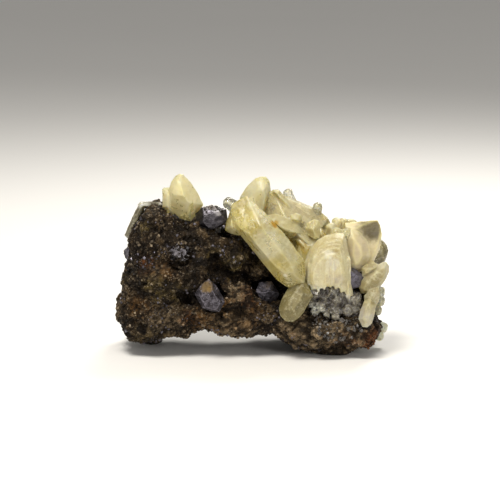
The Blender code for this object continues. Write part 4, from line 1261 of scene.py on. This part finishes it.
# geometry nodes: clods, lumps and broken grain on the ore, with the clefts, kept off the floor
def makeBrokenRelief():
    inputs = {"Geometry": "NodeSocketGeometry", "Warp": 2.0, "Clod Size": 5.0, "Clod Height": 2.0,
              "Lump Size": 2.3, "Lump Height": 1.0, "Fine Size": 1.0, "Fine Height": 0.4, "Inset": 0.3}
    tree, start, end = startGroup("brokenRelief", "GeometryNodeTree", inputs, ["Geometry"])
    asked = start.outputs
    place = addNode(tree, "GeometryNodeInputPosition").outputs[0]
    drift = addNode(tree, "ShaderNodeTexNoise", {"Vector": scaled(tree, place, 1 / 4.5), "Scale": 1.0, "Detail": 2.0})
    drift = vectors(tree, "SUBTRACT", drift.outputs["Color"], (0.5, 0.5, 0.5))
    warped = vectors(tree, "ADD", place, scaled(tree, drift, asked["Warp"]))
    height = share = 0.0
    for name, where, weight in (("Clod", warped, 0.62), ("Lump", warped, 0.62), ("Fine", place, 0.7)):
        mound = minus(tree, 0.45, cellsAt(tree, where, asked[name + " Size"]).outputs["Distance"])
        height = plus(tree, height, times(tree, mound, asked[name + " Height"]))
        share = plus(tree, share, times(tree, mound, weight))
    height = minus(tree, height, asked["Inset"])
    depth = 0.0
    for middle, half, lean, deep in rockClefts:
        reach = reachIn(tree, warped, middle, half, lean)
        depth = maths(tree, "MAXIMUM", spread(tree, reach, 0.45, 1.15, deep, 0.0), depth)
    height = minus(tree, height, depth)
    up = addNode(tree, "ShaderNodeSeparateXYZ", {0: place}).outputs[2]
    height = times(tree, height, spread(tree, up, 0.3, 2.8))
    # the shader paints shade on what lies low, deepest in the clefts
    share = minus(tree, share, times(tree, depth, 0.22))
    kept = addNode(tree, "GeometryNodeStoreNamedAttribute",
                   {"Geometry": asked["Geometry"], "Name": "oreHeight", "Value": plus(tree, share, 0.45)},
                   data_type="FLOAT", domain="POINT")
    return pushOut(tree, end, kept.outputs[0], height)


oreFinish = dict(
    black=colour(0.006, 0.0040, 0.0025), brown=colour(0.040, 0.0245, 0.0118), tan=colour(0.112, 0.074, 0.036),
    # pale is the colour of the palest grains, partly a painted highlight on the grains
    pale=colour(0.31, 0.245, 0.165), ochre=colour(0.20, 0.092, 0.020), rust=colour(0.15, 0.045, 0.010),
    # the earth colour is a tan earth tone that also paints bounce light on the low rock; shadow is painted shade
    olive=colour(0.098, 0.070, 0.020), earthandbouncelight=colour(0.31, 0.225, 0.13), shadow=colour(0.013, 0.0088, 0.0055),
    grainSize=0.8, paleFrom=0.82, paleAmount=0.6, tanAmount=0.6, roughness=0.55, gloss=0.2, specular=0.1,
    bump=0.6, loose=False,
)
# patches of stain and of painted light: Shadow is painted shade, the earth patches are earth tone with painted bounce
# light, the rest are stains; where, how far they reach, and how strong
oreStainsAndPaintedLight = {
    "Shadow": [
        ((-44, -20, 34), 17, 0.5), ((-32, -20, 52), 14, 0.4), ((-48, -14, 50), 11, 0.4),
        ((-26, -22, 38), 9, 0.3)],
    # earth patches: tan earth tone, and painted bounce light that brightens the low rock
    "EarthAndBounceLight": [
        ((-10, -27, 9), 17, 0.92), ((6, -27, 14), 9, 0.5), ((20, -28, 9), 16, 0.95),
        ((42, -27, 9), 16, 0.9), ((-36, -25, 12), 13, 0.55), ((44, -20, 18), 8, 0.75),
        ((0, 30, 10), 20, 0.5), ((-5, -24, 28), 6.5, 0.6), ((2.5, -10, 35), 6, 0.5),
        ((-40, -20, 37), 6, 0.35), ((-8, -20, 43), 4.5, 0.4)],
    "Ochre": [
        ((-20, -24, 12), 11, 0.6), ((-4, -24, 15), 9, 0.4), ((-36, -22, 38), 6.0, 0.35),
        ((-12, -24, 22), 7, 0.5), ((-46, -18, 22), 8, 0.35), ((10, 26, 20), 14, 0.6),
        ((18, -28, 9), 7, 0.4), ((2, -20, 22), 5, 0.5)],
    "Rust": [
        ((50, -18, 8), 8, 1.0), ((40, -24, 6), 8, 0.6), ((-2, -22, 27), 6, 0.45),
        ((-26, -24, 17), 6, 0.4), ((-30, 28, 20), 12, 0.6), ((-44, -20, 40), 5, 0.5)],
    "Olive": [
        ((-6, -18, 40), 8, 1.0), ((-46, -18, 56), 5, 0.9), ((-40, -24, 30), 8, 0.8),
        ((30, 26, 30), 9, 0.6), ((-52, -14, 33), 5, 0.9), ((-30, -22, 28), 7, 0.6),
        ((-16, -20, 46), 5, 0.5), ((-42, -18, 8), 10, 0.5)],
}
# hollows painted in shade: middle, half sizes, lean
oreHollows = [
    ((7, -19, 30), (9, 18, 4.4), 14), ((-6, -19, 34.5), (9, 14, 1.5), 16),
    ((4, -17, 42), (9, 14, 2.2), 48), ((-16.5, -21, 37.0), (2.6, 10, 4.0), 14),
    ((-26, -24, 26), (9, 10, 2.0), 24), ((-10, -25, 21.5), (7, 8, 1.4), -6),
    ((-8, 34, 30), (12, 9, 5), -24), ((34, 32, 32), (8, 8, 5), 30), ((-3, -28, 19), (4, 6, 2.4), 10),
    ((-24, -22, 42), (5, 6, 1.8), 20), ((-48, -14, 12), (3, 8, 2), 30), ((46, -25, 14), (6, 6, 1.5), 10)]


# shader group: masks of dark, brown and pale grains, a glint mask for roughness and a height, on millimetre
# coordinates, and the painted shade of low ground read from oreHeight
def makeOreGrain():
    inputs = {"Place": (0.0, 0.0, 0.0), "Grain Size": 0.8, "Patch Size": 5.0}
    tree, start, end = startGroup("oreGrain", "ShaderNodeTree", inputs, ["Tone", "Patch", "Glint", "Height", "Shade"])
    place, grainSize, patchSize = (start.outputs[name] for name in inputs)
    cells = cellsAt(tree, place, grainSize)
    parts = addNode(tree, "ShaderNodeSeparateColor", {0: cells.outputs["Color"]}).outputs
    fine = noiseAt(tree, place, times(tree, grainSize, 0.5), 3.0, 0.7)
    return sendOut(tree, end, {
        "Tone": parts[0], "Patch": spread(tree, noiseAt(tree, place, patchSize, 4.0, 0.65), 0.42, 0.66),
        "Glint": spread(tree, parts[1], 0.90, 0.93),
        "Height": plus(tree, cells.outputs["Distance"], times(tree, fine, 0.6)),
        "Shade": spread(tree, attributeOf(tree, "oreHeight"), 0.12, 0.72, 0.10, 1.0)})


# shader group: where the ore is stained, where painted shade and painted bounce light lie, and the painted shade of
# its hollows
def makeOreStainsAndPaintedLight():
    inputs = {"Place": (0.0, 0.0, 0.0)}
    tree, start, end = startGroup("oreStainsAndPaintedLight", "ShaderNodeTree", inputs, [*oreStainsAndPaintedLight, "Hollow"])
    place = start.outputs["Place"]
    found = {}
    for name, patches in oreStainsAndPaintedLight.items():
        found[name] = 0.0
        for centre, radius, amount in patches:
            mask = times(tree, spotMask(tree, place, centre, radius, 0.5), amount)
            found[name] = maths(tree, "MAXIMUM", mask, found[name])
    # Hollow: painted shade in the hollows
    found["Hollow"] = 0.0
    ragged = times(tree, minus(tree, noiseAt(tree, place, 3.0, 3.0), 0.5), 0.9)
    for middle, half, lean in oreHollows:
        reach = plus(tree, reachIn(tree, place, middle, half, lean), ragged)
        found["Hollow"] = maths(tree, "MAXIMUM", spread(tree, reach, 0.8, 1.2, 1.0, 0.0), found["Hollow"])
    return sendOut(tree, end, found)


# loose grains keep one tone each, the rock takes its tone from cells
def oreMaterial(name, **changes):
    values = {**oreFinish, **changes}
    material, tree, shader = startMaterial(name)
    placeMm = placeInMm(tree)
    grain = addNode(tree, "ShaderNodeGroup", node_tree=oreGrain)
    stainAndLightPatches = addNode(tree, "ShaderNodeGroup", node_tree=oreStainAndPaintedLightMasks)
    tree.links.new(placeMm, grain.inputs["Place"])
    tree.links.new(placeMm, stainAndLightPatches.inputs["Place"])
    grain.inputs["Grain Size"].default_value = values["grainSize"]
    masks = grain.outputs
    tone = attributeOf(tree, "grainTone") if values["loose"] else masks["Tone"]
    paint = blendColours(tree, spread(tree, tone, 0.1, 0.8), values["black"], values["brown"])
    paint = blendColours(tree, times(tree, masks["Patch"], values["tanAmount"]), paint, values["tan"])
    for stain in oreStainsAndPaintedLight:
        mask = times(tree, stainAndLightPatches.outputs[stain], spread(tree, tone, 0.1, 0.7, 0.5, 1.0))
        paint = blendColours(tree, mask, paint, values[stain.lower()])
    # pale paint on the grains of highest tone: paler grains, partly a painted highlight
    pale = spread(tree, tone, values["paleFrom"], values["paleFrom"] + 0.12)
    paint = blendColours(tree, times(tree, pale, values["paleAmount"]), paint, values["pale"])
    # painted shade: low ground and the hollows blend the paint towards black
    light = times(tree, masks["Shade"], spread(tree, stainAndLightPatches.outputs["Hollow"], 0.0, 1.0, 1.0, 0.06))
    tree.links.new(blendColours(tree, light, values["black"], paint), shader.inputs["Base Color"])
    rough = spread(tree, masks["Glint"], 0.0, 1.0, values["roughness"], values["gloss"])
    tree.links.new(rough, shader.inputs["Roughness"])
    shader.inputs["Specular IOR Level"].default_value = values["specular"]
    addBump(tree, shader, values["bump"], 0.0004, masks["Height"])
    return material


brokenRelief = makeBrokenRelief()
oreGrain = makeOreGrain()
oreStainAndPaintedLightMasks = makeOreStainsAndPaintedLight()
# round lumps that stand out of the broken face: middle, half sizes
rockLumps = [
    ((-10.2, -15.4, 41.2), (5.4, 4.6, 4.4)), ((0.4, -6.8, 34.8), (6.2, 4.6, 4.2)),
    ((-6.6, -18.4, 28.4), (6.8, 4.8, 4.9)), ((-47.5, -14, 50.0), (3.6, 3.4, 2.8)),
    ((-53, -11, 33.0), (4.0, 4, 3.0)), ((-34, -18.6, 30.0), (9, 3.6, 2.8)),
    ((-31.4, -16.0, 45.0), (5.2, 3.0, 4.2))]
rock = copyOfNode("matrix", "oreRock")
lumps = []
for middle, half in rockLumps:
    deselectAll()
    bpy.ops.mesh.primitive_ico_sphere_add(subdivisions=2, radius=1.0, location=(0, 0, 0))
    lump = bpy.context.object
    lump.data.transform(Matrix.Translation(Vector(middle) + frameShift) @ Matrix.Diagonal((*half, 1)))
    lumps.append(lump)
joinAll([rock] + lumps, "oreRock")
remeshTo(rock, rockValues["voxel"], rockValues["smoothing"])
useNodes(rock, brokenRelief, rockValues["relief"])
rockOre = oreMaterial("oreRockFinish", grainSize=rockValues["grainSize"], bump=rockValues["bump"])
finishPiece(rock, rockOre, ("matrix",), smooth=False)
print("rock carved:", len(rock.data.polygons), "faces")


# grains on the ore: one small crystal of each shape, a millimetre across, with its cuts as (point, normal)
grainShapes = {
    "rhomb": dict(cube=0.9, turns={"X": 45, "Y": 35.26}, squash=(1.0, 1.0, 0.72)),
    "chip": dict(cube=0.9, cuts=[((0.2, 0.2, 0.2), (1, 1, 1))]),
    "cube": dict(cube=0.8, cuts=[((-0.3, 0.25, 0.3), (-1, 1, 1))]),
    "octahedron": dict(ball=0.6, squash=(1.0, 0.8, 1.1)),
    "spar": dict(column=(0.42, 0.3), cuts=[((0, 0, 0.62), (0.75, 0.1, 1)), ((0, 0, 0.66), (-0.5, 0.55, 1)),
                                           ((0, 0, 0.64), (-0.4, -0.6, 1))]),
}


def makeGrainShape(name, facts):
    deselectAll()
    if "cube" in facts:
        bpy.ops.mesh.primitive_cube_add(size=facts["cube"])
    elif "ball" in facts:
        bpy.ops.mesh.primitive_uv_sphere_add(segments=4, ring_count=2, radius=facts["ball"])
    else:
        lower, upper = facts["column"]
        bpy.ops.mesh.primitive_cone_add(vertices=6, radius1=lower, radius2=upper, depth=1.0, location=(0, 0, 0.3))
    bpy.ops.object.mode_set(mode="EDIT")
    bpy.ops.mesh.select_all(action="SELECT")
    for axis, angle in facts.get("turns", {}).items():
        bpy.ops.transform.rotate(value=math.radians(angle), orient_axis=axis, center_override=(0, 0, 0))
    if "squash" in facts:
        bpy.ops.transform.resize(value=facts["squash"])
    for point, normal in facts.get("cuts", ()):
        bpy.ops.mesh.select_all(action="SELECT")
        bpy.ops.mesh.bisect(plane_co=point, plane_no=normal, use_fill=True, clear_outer=True)
    bpy.ops.object.mode_set(mode="OBJECT")
    bpy.ops.object.transform_apply(location=True, rotation=True, scale=True)
    shape = bpy.context.object
    shape.name = name
    return shape


def makeShapeSet(name, kinds):
    collection = bpy.data.collections.new(name)
    bpy.context.scene.collection.children.link(collection)
    for index, kind in enumerate(kinds):
        shape = makeGrainShape(f"{name}{index}", grainShapes[kind])
        for owner in list(shape.users_collection):
            owner.objects.unlink(shape)
        collection.objects.link(shape)
    return collection


# geometry nodes: spreads copies of the grain shapes over a surface and realizes them
def makeGrainScatter():
    inputs = {"Geometry": "NodeSocketGeometry", "Shapes": "NodeSocketCollection", "Spacing": 0.9, "Density": 2.0,
              "Smallest": 0.4, "Largest": 1.2, "Patch Size": 6.0, "Patch Low": 0.3, "Patch High": 0.4,
              "Floor Gap": 1.1, "Seed": 1, "Sink": 0.1, "Lean": 3.1, "Spot": (0.0, 0.0, 0.0), "Spot Reach": 1000.0}
    tree, start, end = startGroup("grainScatter", "GeometryNodeTree", inputs, ["Geometry"])
    asked = start.outputs
    place = addNode(tree, "GeometryNodeInputPosition").outputs[0]
    up = addNode(tree, "ShaderNodeSeparateXYZ", {0: place}).outputs[2]
    field = noiseAt(tree, place, asked["Patch Size"], 3.0, 0.6)
    chance = addNode(tree, "ShaderNodeMapRange", {"Value": field, "From Min": asked["Patch Low"],
                                                  "From Max": asked["Patch High"]}).outputs[0]
    away = lengthOf(tree, vectors(tree, "SUBTRACT", place, asked["Spot"]))
    near = maths(tree, "LESS_THAN", away, asked["Spot Reach"])
    high = maths(tree, "GREATER_THAN", up, asked["Floor Gap"])
    chance = times(tree, chance, times(tree, high, near))
    points = addNode(tree, "GeometryNodeDistributePointsOnFaces", {
        "Mesh": asked["Geometry"], "Distance Min": asked["Spacing"], "Density Max": asked["Density"],
        "Density Factor": chance, "Seed": asked["Seed"]}, distribute_method="POISSON").outputs
    sunk = scaled(tree, points["Normal"], times(tree, asked["Sink"], -1.0))
    lowered = addNode(tree, "GeometryNodeSetPosition", {"Geometry": points["Points"], "Offset": sunk})
    turn = addNode(tree, "FunctionNodeRandomValue", {0: (-1.0, -1.0, -1.0), 1: (1.0, 1.0, 1.0)},
                   data_type="FLOAT_VECTOR")
    turned = addNode(tree, "FunctionNodeEulerToRotation", {0: scaled(tree, turn.outputs[0], asked["Lean"])})
    spun = addNode(tree, "FunctionNodeRotateRotation", {0: points["Rotation"], 1: turned.outputs[0]},
                   rotation_space="LOCAL")
    share = addNode(tree, "FunctionNodeRandomValue", data_type="FLOAT").outputs[1]
    size = addNode(tree, "ShaderNodeMapRange", {"Value": maths(tree, "POWER", share, 2.2),
                                                "To Min": asked["Smallest"], "To Max": asked["Largest"]})
    shapes = addNode(tree, "GeometryNodeCollectionInfo",
                     {"Collection": asked["Shapes"], "Separate Children": True, "Reset Children": True})
    placed = addNode(tree, "GeometryNodeInstanceOnPoints", {
        "Points": lowered.outputs[0], "Instance": shapes.outputs[0], "Pick Instance": True,
        "Rotation": spun.outputs[0], "Scale": size.outputs[0]})
    toneSeed = 5
    tone = addNode(tree, "FunctionNodeRandomValue", {8: toneSeed}, data_type="FLOAT").outputs[1]
    toned = addNode(tree, "GeometryNodeStoreNamedAttribute",
                    {"Geometry": placed.outputs[0], "Name": "grainTone", "Value": tone},
                    data_type="FLOAT", domain="INSTANCE")
    real = addNode(tree, "GeometryNodeRealizeInstances", {0: toned.outputs[0]})
    return sendOut(tree, end, {"Geometry": real.outputs[0]})


sparFinish = dict(dark=colour(0.045, 0.04, 0.038), grey=colour(0.17, 0.155, 0.14), pale=colour(0.34, 0.32, 0.27),
                  cloud=0.35, smoothest=0.2, roughest=0.35, transmission=0.3, ior=1.55)


# small grey spar crystals, each with a tone of its own
def sparMaterial(name, values):
    material, tree, shader = startMaterial(name)
    tone = attributeOf(tree, "grainTone")
    cloud = spread(tree, noiseAt(tree, placeInMm(tree), 0.8, 3.0), 0.35, 0.65)
    paint = blendColours(tree, spread(tree, tone, 0.05, 0.75), values["dark"], values["grey"])
    paint = blendColours(tree, spread(tree, tone, 0.72, 0.98), paint, values["pale"])
    paint = blendColours(tree, times(tree, cloud, values["cloud"]), paint, values["grey"])
    tree.links.new(paint, shader.inputs["Base Color"])
    rough = spread(tree, cloud, 0.0, 1.0, values["smoothest"], values["roughest"])
    tree.links.new(rough, shader.inputs["Roughness"])
    shader.inputs["Transmission Weight"].default_value = values["transmission"]
    shader.inputs["IOR"].default_value = values["ior"]
    return material


def scatterGrains(name, base, shapes, material, slotName, values):
    piece = bpy.data.objects.new(name, base.data.copy())
    bpy.context.scene.collection.objects.link(piece)
    piece.data.name = name
    piece.data.transform(Matrix.Scale(1 / toMetres, 4))
    useNodes(piece, grainScatter, {"Shapes": shapes, **values})
    finishPiece(piece, material, smooth=False)
    print(name, "scattered:", len(piece.data.polygons), "faces")
    return piece


grainScatter = makeGrainScatter()
darkShapes = makeShapeSet("darkGrains", ("chip", "octahedron", "rhomb"))
brownShapes = makeShapeSet("brownGrains", ("rhomb", "cube", "chip"))
leadShapes = makeShapeSet("leadGrains", ("cube", "chip"))
sparShapes = makeShapeSet("sparGrains", ("spar", "spar", "rhomb"))

darkOre = oreMaterial("darkGrainOre", grainSize=0.7, paleFrom=0.88, roughness=0.52, gloss=0.16, bump=0.2,
                      loose=True, tanAmount=0.45, specular=0.15)
brownOre = oreMaterial("brownGrainOre", grainSize=0.9, paleFrom=0.72, paleAmount=0.75, roughness=0.5, bump=0.2,
                       loose=True, tanAmount=0.9, specular=0.2)
crustOre = oreMaterial("crustOre", grainSize=0.6, paleFrom=0.8, roughness=0.5, bump=0.2, loose=True,
                       tanAmount=0.8, specular=0.35)
leadGrain = galenaMaterial("leadGrain", metallic=0.9, roughness=0.32)
leadStreak = galenaMaterial("leadStreak", metallic=0.9, roughness=0.25, grey=colour(0.22, 0.21, 0.23),
                            pale=colour(0.5, 0.48, 0.5))
sparGrain = sparMaterial("sparGrain", sparFinish)
sparValues = {"Smallest": 0.6, "Seed": 4, "Sink": 0.2, "Lean": 0.6}
# each patch of grains: what it lies on, its shapes, finish and slot, and how it is spread
grainPatches = {
    "oreDarkGrains": (rock, darkShapes, darkOre, "ore", {
        "Spacing": 0.72, "Density": 1.6, "Smallest": 0.34, "Largest": 1.25, "Seed": 3, "Sink": 0.16,
        "Patch Low": 0.36, "Patch High": 0.56, "Patch Size": 4.0}),
    "oreBrownGrains": (rock, brownShapes, brownOre, "ore", {
        "Spacing": 0.75, "Density": 1.3, "Smallest": 0.36, "Largest": 1.2, "Seed": 8,
        "Patch Low": 0.40, "Patch High": 0.58, "Patch Size": 5.0}),
    "oreLeadGrains": (rock, leadShapes, leadGrain, "galena", {
        "Spacing": 0.9, "Density": 0.7, "Smallest": 0.35, "Largest": 1.2, "Seed": 21,
        "Patch Low": 0.52, "Patch High": 0.64, "Patch Size": 9.0}),
    "oreLeadStreak": (rock, leadShapes, leadStreak, "galena", {
        "Spacing": 0.5, "Density": 3.0, "Smallest": 0.4, "Largest": 1.3, "Seed": 12, "Spot": (-29.6, -20.5, 44.6),
        "Spot Reach": 4.6, "Patch Low": 0.44, "Patch High": 0.56, "Patch Size": 3.0}),
    "galenaTopCrust": (galenas["galena_top"], brownShapes, crustOre, "ore", {
        "Spacing": 0.5, "Density": 3.0, "Smallest": 0.3, "Largest": 1.1, "Seed": 5, "Sink": 0.12,
        "Patch Low": 0.42, "Patch High": 0.5, "Patch Size": 2.6, "Spot": (-17, -8, 65), "Spot Reach": 6.5}),
    "galenaFlushCrust": (galenas["galena_flush"], darkShapes, crustOre, "ore", {
        "Spacing": 0.5, "Density": 3.0, "Smallest": 0.3, "Largest": 1.3, "Seed": 6, "Sink": 0.12,
        "Patch Low": 0.44, "Patch High": 0.5, "Patch Size": 2.6}),
    "sparUnderStump": (rock, sparShapes, sparGrain, "grey_calcite", {
        **sparValues, "Spacing": 0.9, "Density": 0.8, "Largest": 2.0, "Spot": (36, -24, 19), "Spot Reach": 11.0}),
    "sparByBlades": (rock, sparShapes, sparGrain, "grey_calcite", {
        **sparValues, "Spacing": 1.0, "Density": 0.7, "Largest": 2.6, "Spot": (44, -26, 20), "Spot Reach": 8.0}),
    "sparOnDruse": (druse, sparShapes, sparGrain, "grey_calcite", {
        **sparValues, "Spacing": 1.8, "Density": 0.24, "Smallest": 0.9, "Largest": 2.6, "Spot": (35, -25, 23),
        "Spot Reach": 16.0}),
}
for name, facts in grainPatches.items():
    scatterGrains(name, *facts)
for shapes in (darkShapes, brownShapes, leadShapes, sparShapes):
    for shape in list(shapes.objects):
        bpy.data.objects.remove(shape)
    bpy.data.collections.remove(shapes)
print("grains set on the ore")
